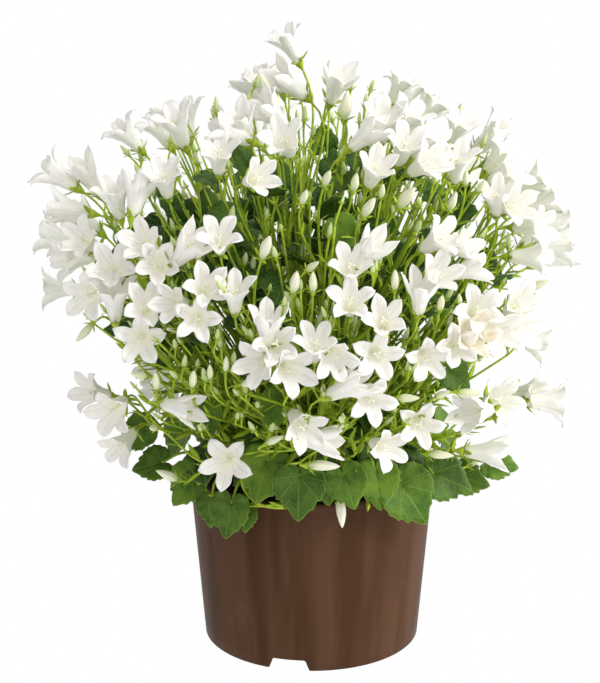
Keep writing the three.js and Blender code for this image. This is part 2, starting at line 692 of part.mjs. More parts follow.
function listTufts() {
  const places = [{ ring: 0, turn: 0, lean: 88 }];
  for (let k = 0; k < tuft.count; k++) {
    const turn = (360 * k) / tuft.count + tuft.firstDegrees;
    places.push({ ring: tuft.ring, turn, lean: tuft.lean });
  }
  return places.map(({ ring, turn, lean }) => ({
    foot: ringPoint(ring, radians(turn), soil.surface - tuft.sunk),
    direction: ringPoint(Math.cos(radians(lean)), radians(turn), Math.sin(radians(lean))),
    heads: [],
    leaves: [],
  }));
}

// Takes the nearest few heads of a tuft again and again, so that each group shares one stem.
function groupHeads(heads) {
  const left = [...heads];
  const groups = [];
  while (left.length) {
    const first = left.shift();
    const near = left
      .filter((head) => head.base.distanceTo(first.base) < spray.reach)
      .sort((a, b) => a.base.distanceTo(first.base) - b.base.distanceTo(first.base))
      .slice(0, spray.most - 1);
    near.forEach((head) => left.splice(left.indexOf(head), 1));
    groups.push([first, ...near]);
  }
  return groups;
}

// The stem rises first and then leans outwards, so that it passes over the pot's rim.
function stemPath(root, heads) {
  const goal = heads.reduce((sum, head) => sum.add(head.base), vector(0, 0, 0));
  goal.divideScalar(heads.length);
  const fork = between(root, goal, spray.forkAt);
  fork.z = Math.max(fork.z, pot.height + spray.overRim);
  const knee = between(root, fork, 0.5);
  knee.z += spray.kneeRise * Math.hypot(fork.x - root.x, fork.y - root.y);
  return [root, knee, fork];
}

// A small four-faced knot at a fork. The stem joins one face, and each head's stalk grows from
// the one of the others that looks its way.
function makeKnot(fork, heads) {
  const ways = heads.map((head) => head.base.clone().sub(fork).normalize());
  const along = ways.reduce((sum, way) => sum.add(way), vector(0, 0, 0)).normalize();
  const orders = [[0, 1, 2], [0, 2, 1], [1, 0, 2], [1, 2, 0], [2, 0, 1], [2, 1, 0]];
  let best = { match: -Infinity };
  for (const height of knot.heights) {
    const tip = fork.clone().addScaledVector(along, height);
    for (let degrees = 0; degrees < 120; degrees += knot.turnStep) {
      const ring = ringOf(3, stem.knot, 0).map((point) =>
        point.applyMatrix4(placement(fork, along, radians(degrees), 1)),
      );
      const [a, b, c] = ring;
      const faces = [[b, c, tip], [c, a, tip], [a, b, tip]];
      for (const order of orders) {
        const chosen = heads.map((_, i) => faces[order[i]]);
        const looks = chosen.map(([one, two, three], i) => {
          const out = two.clone().sub(one).cross(three.clone().sub(one)).normalize();
          return out.dot(ways[i]);
        });
        const match = Math.min(...looks);
        if (match > best.match) best = { match, ring, tip, faces: chosen };
      }
    }
  }
  return best;
}

// The solids of a stem with up to three heads.
function sprayParts(root, heads) {
  const [, knee, fork] = stemPath(root, heads);
  if (heads.length === 1) {
    return [stalkTo(heads[0], [], [root, knee, fork], [0, stem.thick, stem.thin])];
  }
  const { ring, tip, faces } = makeKnot(fork, heads);
  const joint = polyhedron([...ring, tip], [[0, 2, 1], [1, 2, 3], [2, 0, 3], [0, 1, 3]]);
  const lower = stemRings([root, knee, fork], [0, stem.thick, stem.knot], ring[0].clone().sub(fork));
  return [
    loft([...lower.slice(0, -1), ring]),
    joint,
    ...heads.map((head, i) => stalkTo(head, [faces[i]], [fork], [stem.thin])),
  ];
}

// Where a stem leaves the base of its tuft: the lower it heads, the lower and further out.
function rootTowards(foot, goal) {
  const way = goal.clone().sub(foot).normalize();
  const level = vector(way.x, way.y, 0).multiplyScalar(0.5 * tuft.base);
  const middle = soil.surface + tuft.top / 2;
  return vector(foot.x, foot.y, middle + (way.z * tuft.top) / 2).add(level);
}

function makeTuft({ foot, heads, leaves }) {
  const base = [0, tuft.sunk + tuft.top].map((height) =>
    ringOf(5, tuft.base, height).map((point) => point.add(foot)),
  );
  const solids = [loft(base)];
  for (const one of leaves) solids.push(leafSolid(one), petiole(rootTowards(foot, one.base), one));
  for (const group of groupHeads(heads)) {
    const middle = group.reduce((sum, head) => sum.add(head.base), vector(0, 0, 0));
    solids.push(...sprayParts(rootTowards(foot, middle.divideScalar(group.length)), group));
  }
  return union(solids);
}

function listLeaves() {
  const draw = seededDraw(unseen.seed + 1);
  const rimLeaves = seenLeaves.map(([across, down, turn, size, layer]) => ({
    middle: meetCylinder(rayThrough(across, down), skirtRadius[layer]),
    turn: radians(turn),
    size,
    layer,
  }));
  for (let k = 0; k < unseen.rimLeaves; k++) {
    const angle = radians(mix(8, 172, k / (unseen.rimLeaves - 1)));
    const layer = k % 2;
    const height = pot.height - 4 + 10 * draw();
    const middle = ringPoint(skirtRadius[layer], angle, height);
    const turn = radians(50 * (draw() - 0.5));
    rimLeaves.push({ middle, turn, size: 0.95 + 0.35 * draw(), layer });
  }
  const innerLeaves = seenInnerLeaves.map(([across, down, turn, size]) => ({
    middle: meet(rayThrough(across, down), innerDome),
    turn: radians(turn),
    size,
  }));
  [...rimLeaves, ...innerLeaves].forEach(hangLeaf);
  for (const one of rimLeaves) one.over = overRim(one);
  for (const one of innerLeaves) one.over = between(crown, one.base, 0.5);
  return [...rimLeaves, ...innerLeaves];
}

// Sets the way a leaf's tip points, the way its face looks, and where its base is.
function hangLeaf(one) {
  const out = vector(one.middle.x, one.middle.y, 0).normalize();
  const tangent = vector(0, 0, 1).cross(out);
  one.outward = out.clone().add(vector(0, 0, leaf.lean)).normalize();
  const down = vector(0, 0, -1).addScaledVector(out, leaf.lean).normalize();
  one.along = down.multiplyScalar(Math.cos(one.turn));
  one.along.addScaledVector(tangent, Math.sin(one.turn)).normalize();
  one.base = one.middle.clone().addScaledVector(one.along, -0.45 * leaf.length * one.size);
}

// Where the stalk of a rim leaf passes over the pot's rim. The leaf's base stays clear of it.
function overRim({ base, layer }) {
  const out = vector(base.x, base.y, 0).normalize();
  const least = pot.rimRadius + pot.lipReach + 4 + 3 * layer;
  const reach = Math.hypot(base.x, base.y);
  base.addScaledVector(out, Math.max(least - reach, 0));
  const height = Math.max(pot.height + 6 + 3 * layer, base.z + 2);
  return out.multiplyScalar(pot.rimRadius).setZ(height);
}

// The leaf's stalk comes up out of the tuft and into the back of the blade. A rim leaf hangs
// from it, so there it first reaches the blade's base.
function petiole(root, { base, along, outward, size, over, layer }) {
  const end = base.clone().addScaledVector(along, 0.3 * leaf.length * size);
  const hangs = layer !== undefined;
  const behind = (hangs ? base : end).clone().addScaledVector(outward, -2);
  return loft(stemRings([root, over, behind, end], [0, leaf.stalk, leaf.stalk, 0], outward));
}

// Putting it together

const group = new THREE.Group();
const finish = {
  plastic: new THREE.MeshStandardMaterial({ color: 0x5b4033, roughness: 0.42, metalness: 0 }),
  peat: new THREE.MeshStandardMaterial({ color: 0x2a1d14, roughness: 0.98, metalness: 0 }),
  petal: new THREE.MeshStandardMaterial({ color: 0xf7f6ef, roughness: 0.6, metalness: 0 }),
  foliage: new THREE.MeshStandardMaterial({ color: 0x4f7d22, roughness: 0.55, metalness: 0 }),
};

const nodeNumber = (index) => String(index + 1).padStart(2, "0");

function addNode(name, solid, material) {
  const mesh = new THREE.Mesh(geometryOf(solid), material);
  mesh.name = name;
  group.add(mesh);
}

const bells = listBells();
leanTogether(bells);
const gapAround = ({ mouth, neighbours }) => neighbours[0].mouth.distanceTo(mouth);
const lone = bells.filter((one) => leansOn(one, bells).length === 0);
lone.sort((a, b) => gapAround(b) - gapAround(a));
lone.slice(settle.ownNodes).forEach((one) => {
  one.onStalk = true;
});
const loose = bells.filter((one) => !one.onStalk);
const whiteBodies = bodiesBySize(union(loose.map((one) => one.solid)));
const whiteCutter = union(loose.map((one) => bellSolid(one, clearance)));

const tufts = listTufts();
for (const head of [...bells, ...listBuds()]) {
  const direction = head.base.clone().sub(crown).normalize();
  const best = tufts.reduce((a, b) =>
    b.direction.dot(direction) > a.direction.dot(direction) ? b : a,
  );
  best.heads.push(head);
}
for (const one of listLeaves()) {
  const nearest = tufts.slice(1).reduce((a, b) =>
    b.foot.distanceTo(one.base) < a.foot.distanceTo(one.base) ? b : a,
  );
  nearest.leaves.push(one);
}

// Tufts that cross are one body. What a bell cuts off from them is dropped.
const green = union(tufts.map(makeTuft)).subtract(whiteCutter);
const rooted = bodiesBySize(green).filter((body) => body.volume() > smallestTuft);

addNode("pot", makePot(), finish.plastic);
addNode("soil", makeSoil(tufts.map(({ foot }) => foot)), finish.peat);
whiteBodies.forEach((body, i) => addNode(`bells_${nodeNumber(i)}`, body, finish.petal));
rooted.forEach((body, i) => addNode(`tuft_${nodeNumber(i)}`, body, finish.foliage));

export default group;
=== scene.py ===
"""A white Dalmatian bellflower in a brown nursery pot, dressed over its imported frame.

The rules that place the bells, buds, stems and leaves are worked out in millimetres and in the
frame's own axes; a mesh is scaled to metres when it is made. The viewer of the reference
photograph stands on the -Y side.
"""

import math
from functools import cache
from types import SimpleNamespace as Values

import bpy
import numpy as np
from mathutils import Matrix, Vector, noise
from mathutils.kdtree import KDTree


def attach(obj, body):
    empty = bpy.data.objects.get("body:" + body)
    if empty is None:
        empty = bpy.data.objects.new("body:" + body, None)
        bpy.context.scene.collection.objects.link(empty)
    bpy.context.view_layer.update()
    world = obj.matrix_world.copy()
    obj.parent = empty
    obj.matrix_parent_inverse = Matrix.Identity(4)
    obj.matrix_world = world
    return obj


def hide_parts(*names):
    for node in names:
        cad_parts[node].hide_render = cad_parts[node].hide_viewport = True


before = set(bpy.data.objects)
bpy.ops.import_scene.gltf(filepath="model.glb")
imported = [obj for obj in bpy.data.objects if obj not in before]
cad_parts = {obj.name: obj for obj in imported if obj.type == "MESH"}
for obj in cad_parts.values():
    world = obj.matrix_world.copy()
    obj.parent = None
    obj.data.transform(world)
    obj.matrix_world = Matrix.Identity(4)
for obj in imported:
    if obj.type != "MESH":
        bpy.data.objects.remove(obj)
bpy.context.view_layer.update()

# Driving dimensions, in millimetres

MM = 0.001
TAU = 2 * math.pi
GOLDEN_TURN = math.pi * (3 - math.sqrt(5))
TINY = 0.02
POT = Values(height=88, rim=60, foot=52.5, wall=1.6, floor=6, plate=1.6, lip_reach=0.9, lip_height=3)
NOTCH = Values(count=3, first=-12, width=20.5, side=2.5, height=5.4)
DRAIN = Values(count=4, radius=4.5, ring=34, plate=46)
SOIL = Values(surface=79, mound=2.5, gap=0.5, lumps=450)
LOBES = 5
BELL = Values(tube=13, throat=6.6, size=(0.9, 0.16))
CALYX_DEPTH = 4.2
BUD_DEPTH = 1.5
BUD_LENGTH = 12
TUFT = Values(
    count=7, ring=30, first=13, lean=25, upright=88, base=3.4, top=11, sunk=9, radii=(2.9, 2.6, 1.6),
)
SPRAY = Values(most=3, reach=50, fork_at=0.66, knee_rise=0.16, over_rim=12)
LEAF = Values(length=23, middle=0.45, stalk_end=2.3, lean=0.35)
DOME_CENTRE = np.array([-2.0, 0.0, 180.0])
DOME_RADIUS = np.array([121.0, 117.0, 101.0])
INNER_SHARE = 0.84
CROWN = np.array([0.0, 0.0, 85.0])
SKIRT_RADIUS = (65.5, 70.5)
RIM_LEAF = Values(
    clear=4, layer=3, rise=6, drop=2, level=(-4, 10), swing=50, size=(0.95, 0.35), at_back=0.4,
    towards_viewer=np.array([0, -0.9, 0.25]),
)
OVER_RIM = dict(hanging_bud=7, runner=5)
MATCH_GAP = 0.03

# Growth that fills the plant. A pair for a random size is the least and how much more there can be
SHOOT = Values(
    count=165, heights=(-0.35, 0.98), jitter=0.3, depth=(0.62, 0.28), clear=14, most_buds=3,
    seen_depth=0.95, rise=(0.3, 0.4), spread=1.3, bud=(0.32, 0.4), fork_span=5, stalk=(4, 7),
)
# Low leaves keep to the darker half of the leaf tones: painted shade
LOW_LEAF = Values(
    count=68, innermost=16, reach=45, level=(5, 26), swing=90, size=(0.7, 0.4), shade=0.5,
    up=(0.3, 0.9),
)
# Leaves deep inside are nearly all dark: painted shade
INNER_LEAF = Values(
    count=190, heights=(-0.45, 0.85), depth=(0.25, 0.5), clear=10, scatter=1.6,
    face=np.array([0, -0.6, 1]), size=(0.55, 0.35), shade=0.45,
)
SEED = Values(
    bells=29, rim_leaves=30, shoots=73, low_leaves=97, inner_leaves=151, lobes=101, hearts=211,
    tufts=500, soil=7,
)

# The reference photograph: its size and focal length in pixels, and where it was taken from

PHOTO = Values(width=600, height=683, focal=2299)
EYE = np.array([0.0, -1057.4, 468.2])
AIM = np.array([-5.7, 0.0, 148.6])

# Bells seen in it: pixel of the mouth, degrees to the right and up that it faces, how far open
SEEN_BELLS = [
    (287, 40, -75, 62, 0.8), (285, 80, -60, 40, 0.3), (270, 108, -70, 45, 0.6),
    (283, 140, -20, 40, 0.7), (225, 130, -85, 25, 0.6), (240, 121, -40, 60, 0.5),
    (175, 122, -50, 65, 0.7), (124, 131, -80, 50, 0.9), (216, 160, 0, 60, 0.8),
    (172, 172, -15, 60, 0.7), (52, 172, -85, 35, 0.8), (85, 172, -70, 60, 0.4),
    (62, 208, -95, 10, 0.7), (115, 197, -30, 70, 0.7), (138, 190, 160, 60, 0.6),
    (258, 178, 30, 20, 0.6), (228, 228, 0, 45, 0.9), (338, 80, 30, 60, 0.4),
    (402, 82, 60, 60, 0.8), (371, 132, 75, 40, 0.3), (405, 144, 20, 55, 0.8),
    (384, 119, 10, 60, 0.5), (412, 117, 60, 60, 0.7), (433, 139, 60, 50, 0.6),
    (427, 163, 40, 30, 0.6), (460, 125, 40, 60, 0.8), (457, 160, 0, 65, 0.7),
    (500, 143, 60, 50, 0.9), (511, 172, 50, 30, 0.7), (491, 190, -10, 60, 0.5),
    (538, 180, 70, 30, 0.7), (515, 206, 30, 20, 0.6), (548, 201, 85, 25, 0.8),
    (560, 224, 95, 10, 0.6), (534, 227, 50, 10, 0.7), (376, 168, 20, 50, 0.5),
    (441, 238, 50, 35, 0.8), (464, 246, 60, 20, 0.7), (474, 268, 80, 20, 0.6),
    (50, 236, -90, 15, 0.8), (88, 230, -30, 30, 0.7), (69, 259, -60, 0, 0.8),
    (143, 243, -20, 30, 0.6), (190, 246, 50, 45, 0.3), (158, 264, 0, 20, 0.6),
    (52, 290, -85, 0, 0.9), (85, 294, -20, 5, 1), (113, 268, -10, 35, 0.8),
    (114, 294, 0, 75, 0.7), (142, 305, 5, 30, 0.8), (140, 349, 0, 10, 1),
    (197, 319, 0, 15, 1), (207, 284, 10, 30, 0.8), (173, 303, -25, 15, 0.6),
    (241, 290, 0, 65, 0.6), (268, 322, 15, 70, 0.4), (276, 344, 0, 20, 0.8),
    (259, 363, -30, 5, 0.7), (291, 370, 20, 5, 0.8), (90, 392, -50, 20, 0.8),
    (112, 411, -20, -5, 0.9), (184, 408, 60, 0, 0.3), (121, 446, -30, -20, 0.7),
    (226, 462, -5, 12, 1), (295, 422, 20, -10, 0.6), (351, 262, 0, 45, 0.6),
    (350, 301, 0, 40, 0.9), (386, 240, 55, 50, 0.3), (537, 257, 70, 5, 0.8),
    (559, 249, 95, 5, 0.8), (421, 290, 10, 70, 0.4), (438, 275, 30, 40, 0.6),
    (478, 310, 10, 25, 1), (520, 303, 30, 35, 0.8), (315, 343, 0, 55, 0.8),
    (384, 320, 0, 35, 0.6), (377, 355, 5, 10, 1), (421, 366, 10, 0, 1),
    (457, 346, 5, 15, 0.8), (473, 334, 20, 20, 0.7), (496, 331, 20, 10, 0.7),
    (519, 330, 40, 10, 0.8), (539, 346, 70, -10, 0.7), (337, 359, 10, -10, 0.6),
    (371, 400, 10, 5, 1), (353, 384, 70, 30, 0.3), (424, 425, 5, 5, 1),
    (474, 412, -40, 10, 0.3), (499, 400, 25, 20, 0.9), (533, 393, 50, 10, 0.8),
    (554, 402, 85, 0, 0.8), (386, 448, 30, 5, 0.9), (324, 441, 80, 0, 0.3),
    (492, 453, 80, 0, 0.4),
]
WITHERED = (473, 334)
WITHERED_SHARE = 0.65

# Buds: pixel of the middle, degrees to the right and up that it points, share of full size
SEEN_BUDS = [
    (265, 84, -60, 60, 1), (329, 72, 10, 75, 1), (346, 105, 15, 70, 1.25), (366, 100, 30, 75, 0.6),
    (304, 197, 20, 50, 0.8), (327, 178, 20, 50, 0.9), (355, 182, 15, 60, 0.9),
    (369, 207, 35, 50, 1.1), (407, 197, 35, 45, 1.3), (382, 191, 10, 60, 0.7),
    (466, 178, 0, 70, 0.7), (481, 186, 35, 50, 0.7), (453, 201, 30, 60, 0.9),
    (266, 247, 25, 55, 1.2), (156, 381, 0, 65, 0.9), (139, 375, -50, 20, 0.8),
    (193, 379, 10, 60, 0.9), (210, 372, 0, 70, 0.7), (226, 364, 10, 70, 0.7),
    (249, 383, 50, 20, 0.8), (153, 428, -20, 20, 0.7), (275, 440, 70, 30, 0.8),
    (295, 282, 15, 60, 1.1), (84, 333, -60, -40, 0.9), (313, 282, 0, 70, 0.9),
    (313, 266, 40, 35, 0.8), (395, 280, 0, 70, 0.9), (441, 303, 10, 60, 0.8),
    (538, 285, 60, 30, 1), (409, 398, 60, 10, 0.9), (443, 394, 40, 30, 0.8),
    (470, 393, 80, 0, 0.9), (441, 455, 80, 0, 1), (324, 466, 85, 0, 1.2),
    (167, 475, -60, 30, 1.1),
]
SEEN_HANGING_BUD = (341, 513, 12, -68, 1.15)

# Rim leaves: pixel of the middle, turn of the tip from straight down, size, which cylinder
SEEN_LEAVES = [
    (131, 438, -50, 1.05, 1), (146, 466, -75, 0.95, 0), (192, 489, -20, 1.1, 0),
    (213, 514, 10, 0.8, 0), (229, 521, 0, 1.05, 1), (247, 521, 8, 0.65, 0),
    (264, 480, -10, 1.3, 0), (299, 498, 0, 1.3, 1), (326, 491, 10, 0.8, 0),
    (349, 492, 15, 1.05, 1), (375, 489, 0, 1.15, 0), (411, 503, 25, 1.45, 1),
    (436, 478, 60, 1.3, 0), (475, 481, 70, 1, 1), (505, 465, 80, 0.9, 0),
]
SEEN_INNER_LEAVES = [
    (209, 421, 30, 0.85), (272, 415, -25, 0.9), (460, 380, 40, 0.85), (345, 236, 25, 0.75),
]
# Runner stems that trail over the rim: pixels they pass, the tip last
SEEN_RUNNERS = [
    [(290, 500), (262, 506), (232, 501), (204, 492), (178, 481)],
    [(287, 507), (259, 504), (244, 489), (241, 468)],
    [(372, 498), (402, 486), (440, 478), (468, 466)],
]
RUNNER_RADIUS = 64

# Pixels where small buds stand between the bells
SMALL_BUD_SHOOTS = [
    (281, 326), (461, 314), (234, 306), (331, 330), (247, 402), (322, 401), (361, 376), (406, 381),
    (255, 345), (301, 300), (372, 286), (421, 212), (335, 226), (215, 356), (300, 172), (440, 180),
    (168, 352), (182, 382), (150, 402), (206, 392), (236, 424), (168, 424), (204, 438), (258, 436),
    (284, 406), (308, 424), (346, 428), (402, 426), (446, 424), (330, 392),
]

# Bells and leaves that the photograph doesn't show, by rule
UNSEEN = Values(
    behind=1.06, sprays=44, spacing=28, lowest=-0.72, highest=0.97, frontmost=14,
    bells=3, radius=9.8, fan=12, rim_leaves=11, rim_span=(8, 172),
)

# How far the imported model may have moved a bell, towards a neighbour and along its own axis
MOVES_TOWARDS = (0, 1.5, 3, 4.5, 6, 7.5)
MOVES_ALONG = (0, 1.5, -1.5, 3, -3, 4.5, -4.5)
NEIGHBOURS = 3


# Basic helpers

def seeded_draw(seed):
    """A repeatable draw: each call gives the next number from 0 to 1."""
    state = seed

    def draw():
        nonlocal state
        state = (state * 1664525 + 1013904223) % 4294967296
        return state / 4294967296

    return draw


def vary(draw, least, more):
    return least + more * draw()


def either_way(draw, spread):
    """A number up to half the spread above or below zero."""
    return spread * (draw() - 0.5)


def point(x, y, z):
    return np.array([x, y, z], float)


def random_way(draw):
    return point(draw() - 0.5, draw() - 0.5, draw() - 0.5)


def unit(v):
    return v / np.linalg.norm(v)


def mix(a, b, share):
    return a + (b - a) * share


def ring_point(radius, angle, height):
    return point(radius * math.cos(angle), radius * math.sin(angle), height)


def facing(right, up):
    r, u = math.radians(right), math.radians(up)
    return point(math.sin(r) * math.cos(u), -math.cos(r) * math.cos(u), math.sin(u))


def turned(axis, roll=0.0):
    """The rotation that stands a shape drawn along +Z along an axis, rolled about it."""
    a, b, c = axis
    swing = np.array([[0, 0, a], [0, 0, b], [-a, -b, 0]])
    cos, sin = math.cos(roll), math.sin(roll)
    spin = np.array([[cos, -sin, 0], [sin, cos, 0], [0, 0, 1]])
    return (np.eye(3) + swing + swing @ swing / (1 + c)) @ spin


def ray_through(across, down):
    ahead = unit(AIM - EYE)
    right = unit(np.cross(ahead, point(0, 0, 1)))
    upward = np.cross(right, ahead)
    sideways = right * (across - PHOTO.width / 2) / PHOTO.focal
    return unit(ahead + sideways - upward * (down - PHOTO.height / 2) / PHOTO.focal)


def meet(direction, radius):
    """Where the ray first meets an ellipsoid about the dome's centre, or comes nearest to it."""
    start = (EYE - DOME_CENTRE) / radius
    step = direction / radius
    a, b, c = step @ step, start @ step, start @ start - 1
    return EYE + direction * (-b - math.sqrt(max(b * b - a * c, 0))) / a


def meet_cylinder(direction, radius):
    a = direction[0] ** 2 + direction[1] ** 2
    b = EYE[0] * direction[0] + EYE[1] * direction[1]
    c = EYE[0] ** 2 + EYE[1] ** 2 - radius**2
    return EYE + direction * (-b - math.sqrt(max(b * b - a * c, 0))) / a


def dome_direction(i, height, jitter=0.0):
    """The direction of one of many places spread evenly over a dome, at a height from -1 to 1."""
    return ring_point(math.sqrt(1 - height * height), i * GOLDEN_TURN + jitter, height)


def roll_towards(axis, start, goal):
    """The roll that turns a bell's first lobe towards a place."""
    way = turned(axis).T @ (goal - start)
    return math.atan2(way[1], way[0]) - math.pi / LOBES


# Where the bells, buds and leaves are

def list_unseen_bells(seen):
    """Groups of bells, spread over the part of the dome that the photograph doesn't show."""
    draw = seeded_draw(SEED.bells)
    bells = []
    for i in range(UNSEEN.sprays):
        height = mix(UNSEEN.lowest, UNSEEN.highest, (i + 0.5) / UNSEEN.sprays)
        out = dome_direction(i, height, 0.5 * draw())
        middle = out * DOME_RADIUS + DOME_CENTRE
        middle[1] *= UNSEEN.behind
        lean = point(draw() - 0.5, draw() - 0.5, 0.3 + 0.5 * draw())
        start = TAU * draw()
        gaps = [np.linalg.norm(one["mouth"] - middle) for one in seen + bells]
        if min(gaps) < UNSEEN.spacing or middle[1] < UNSEEN.frontmost:
            continue
        up = unit(out + lean)
        flat = turned(up, start)
        for k in range(UNSEEN.bells):
            aside = flat @ ring_point(1, TAU * k / UNSEEN.bells, 0)
            axis = unit(up + aside * math.tan(math.radians(UNSEEN.fan)))
            open_share = 0.4 + 0.6 * draw()
            mouth = middle + aside * UNSEEN.radius
            bells.append(dict(mouth=mouth, axis=axis, open=open_share, size=vary(draw, *BELL.size)))
    return bells


def list_bells():
    """All bells, each with the nearest ones about it."""
    draw = seeded_draw(SEED.bells)
    bells = []
    for across, down, right, up, open_share in SEEN_BELLS:
        mouth = meet(ray_through(across, down), DOME_RADIUS)
        withered = WITHERED_SHARE if (across, down) == WITHERED else 0.0
        bells.append(dict(mouth=mouth, axis=facing(right, up), open=open_share,
                          size=vary(draw, *BELL.size), withered=withered))
    bells += list_unseen_bells(bells)
    mouths = np.array([one["mouth"] for one in bells])
    for i, one in enumerate(bells):
        gaps = np.linalg.norm(mouths - one["mouth"], axis=1)
        gaps[i] = np.inf
        one["neighbours"] = [bells[k] for k in np.argsort(gaps, kind="stable")[:NEIGHBOURS]]
    return bells


def corner_finder():
    """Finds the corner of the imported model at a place, if there is one, and tells its node."""
    rows = [(v.co, name) for name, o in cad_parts.items() for v in o.data.vertices]
    tree = KDTree(len(rows))
    for i, (co, _) in enumerate(rows):
        tree.insert(co, i)
    tree.balance()

    def find(place):
        _, index, distance = tree.find(Vector(place * MM))
        return rows[index][1] if distance < MATCH_GAP * MM else None

    return find


def settle(bell, find):
    """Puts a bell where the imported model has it: some were moved to lean on a neighbour."""
    tries = [
        (near, along, neighbour)
        for neighbour in bell["neighbours"] for near in MOVES_TOWARDS for along in MOVES_ALONG
    ]
    tries.sort(key=lambda row: math.hypot(row[0], row[1]))
    best = -1
    for near, along, neighbour in tries:
        way = unit(neighbour["mouth"] - bell["mouth"])
        mouth = bell["mouth"] + way * near + bell["axis"] * along
        roll = roll_towards(bell["axis"], mouth, neighbour["mouth"])
        turn = turned(bell["axis"], roll)
        base = mouth - bell["axis"] * BELL.tube * bell["size"]
        corners = [ring_point(BELL.throat, TAU * k / LOBES, BELL.tube) for k in range(LOBES)]
        nodes = [find(base + turn @ corner * bell["size"]) for corner in corners]
        hits = [name for name in nodes if name]
        if len(hits) > best:
            best = len(hits)
            node = max(set(hits), key=hits.count) if hits else None
            bell.update(base=base, turn=turn, node=node)
        if best == LOBES:
            break


def list_buds():
    buds = []
    for across, down, right, up, size in SEEN_BUDS:
        axis = facing(right, up)
        base = meet(ray_through(across, down), DOME_RADIUS) - axis * 0.5 * BUD_LENGTH * size
        buds.append(dict(bud=True, base=base, axis=axis, size=size, turn=turned(axis)))
    return buds


def hang_leaf(one):
    """Hangs a leaf outwards and down. One that is seen at a side turns towards the front."""
    out = unit(one["middle"] * [1, 1, 0])
    tangent = np.cross(point(0, 0, 1), out)
    if one.get("seen"):
        tangent = unit(mix(tangent, point(1, 0, 0), out[0] ** 2))
    one["outward"] = unit(out + point(0, 0, LEAF.lean))
    down = unit(point(0, 0, -1) + out * LEAF.lean)
    one["along"] = unit(down * math.cos(one["turn"]) + tangent * math.sin(one["turn"]))
    one["base"] = one["middle"] - one["along"] * LEAF.middle * LEAF.length * one["size"]


def over_rim(one):
    """Where the stalk of a rim leaf passes over the rim. The leaf's base stays clear of it."""
    out = unit(one["base"] * [1, 1, 0])
    outer = RIM_LEAF.layer * one["layer"]
    least = POT.rim + POT.lip_reach + RIM_LEAF.clear + outer
    one["base"] = one["base"] + out * max(least - math.hypot(*one["base"][:2]), 0)
    height = max(POT.height + RIM_LEAF.rise + outer, one["base"][2] + RIM_LEAF.drop)
    return out * POT.rim + point(0, 0, height)


def list_leaves():
    """Leaves over the rim, seen and unseen, and the few that are seen further in."""
    draw = seeded_draw(SEED.rim_leaves)
    rim = []
    for across, down, turn, size, layer in SEEN_LEAVES:
        middle = meet_cylinder(ray_through(across, down), SKIRT_RADIUS[layer])
        rim.append(dict(middle=middle, turn=math.radians(turn), size=size, layer=layer, seen=True))
    for k in range(UNSEEN.rim_leaves):
        angle = math.radians(mix(*UNSEEN.rim_span, k / (UNSEEN.rim_leaves - 1)))
        layer = k % 2
        middle = ring_point(SKIRT_RADIUS[layer], angle, POT.height + vary(draw, *RIM_LEAF.level))
        turn = math.radians(either_way(draw, RIM_LEAF.swing))
        rim.append(dict(middle=middle, turn=turn, size=vary(draw, *RIM_LEAF.size), layer=layer))
    inner = []
    for across, down, turn, size in SEEN_INNER_LEAVES:
        middle = meet(ray_through(across, down), DOME_RADIUS * INNER_SHARE)
        inner.append(dict(middle=middle, turn=math.radians(turn), size=size, seen=True))
    for one in rim + inner:
        hang_leaf(one)
        if one["outward"][1] < RIM_LEAF.at_back:
            one["outward"] = unit(one["outward"] + RIM_LEAF.towards_viewer)
    for one in rim:
        one["over"] = over_rim(one)
    for one in inner:
        one["over"] = mix(CROWN, one["base"], 0.5)
    return rim + inner


def above_rim(place, rise):
    """The place over the pot's rim that lies the way of another place."""
    return unit(place * [1, 1, 0]) * POT.rim + point(0, 0, POT.height + rise)


def hanging_bud():
    """The one cream bud that hangs outside the pot's rim."""
    across, down, right, up, size = SEEN_HANGING_BUD
    axis = facing(right, up)
    middle = meet_cylinder(ray_through(across, down), SKIRT_RADIUS[0])
    base = middle - axis * 0.5 * BUD_LENGTH * size
    return dict(base=base, axis=axis, size=size, over=above_rim(base, OVER_RIM["hanging_bud"]))


def list_tufts():
    places = [(0, 0, TUFT.upright)]
    for k in range(TUFT.count):
        places.append((TUFT.ring, 360 * k / TUFT.count + TUFT.first, TUFT.lean))
    tufts = []
    for ring, turn, lean in places:
        turn, lean = math.radians(turn), math.radians(lean)
        foot = ring_point(ring, turn, SOIL.surface - TUFT.sunk)
        direction = ring_point(math.cos(lean), turn, math.sin(lean))
        tufts.append(dict(foot=foot, direction=direction, heads=[], leaves=[], shoots=[],
                          hanging=[], runners=[]))
    return tufts


def tuft_towards(tufts, place):
    direction = unit(place - CROWN)
    return max(tufts, key=lambda tuft: tuft["direction"] @ direction)


def outer_tuft_near(tufts, place):
    return min(tufts[1:], key=lambda tuft: np.linalg.norm(tuft["foot"] - place))


def group_heads(heads):
    left = list(heads)
    groups = []
    while left:
        first = left.pop(0)
        gap = {id(head): np.linalg.norm(head["base"] - first["base"]) for head in left}
        near = sorted((h for h in left if gap[id(h)] < SPRAY.reach), key=lambda h: gap[id(h)])
        near = near[: SPRAY.most - 1]
        left = [head for head in left if all(head is not one for one in near)]
        groups.append([first, *near])
    return groups


def root_towards(foot, goal):
    way = unit(goal - foot)
    level = way * [1, 1, 0] * 0.5 * TUFT.base
    middle = SOIL.surface + TUFT.top / 2
    return point(foot[0], foot[1], middle + way[2] * TUFT.top / 2) + level


def stem_path(root, goal):
    fork = mix(root, goal, SPRAY.fork_at)
    fork[2] = max(fork[2], POT.height + SPRAY.over_rim)
    knee = mix(root, fork, 0.5)
    knee[2] += SPRAY.knee_rise * math.hypot(fork[0] - root[0], fork[1] - root[1])
    return root, knee, fork


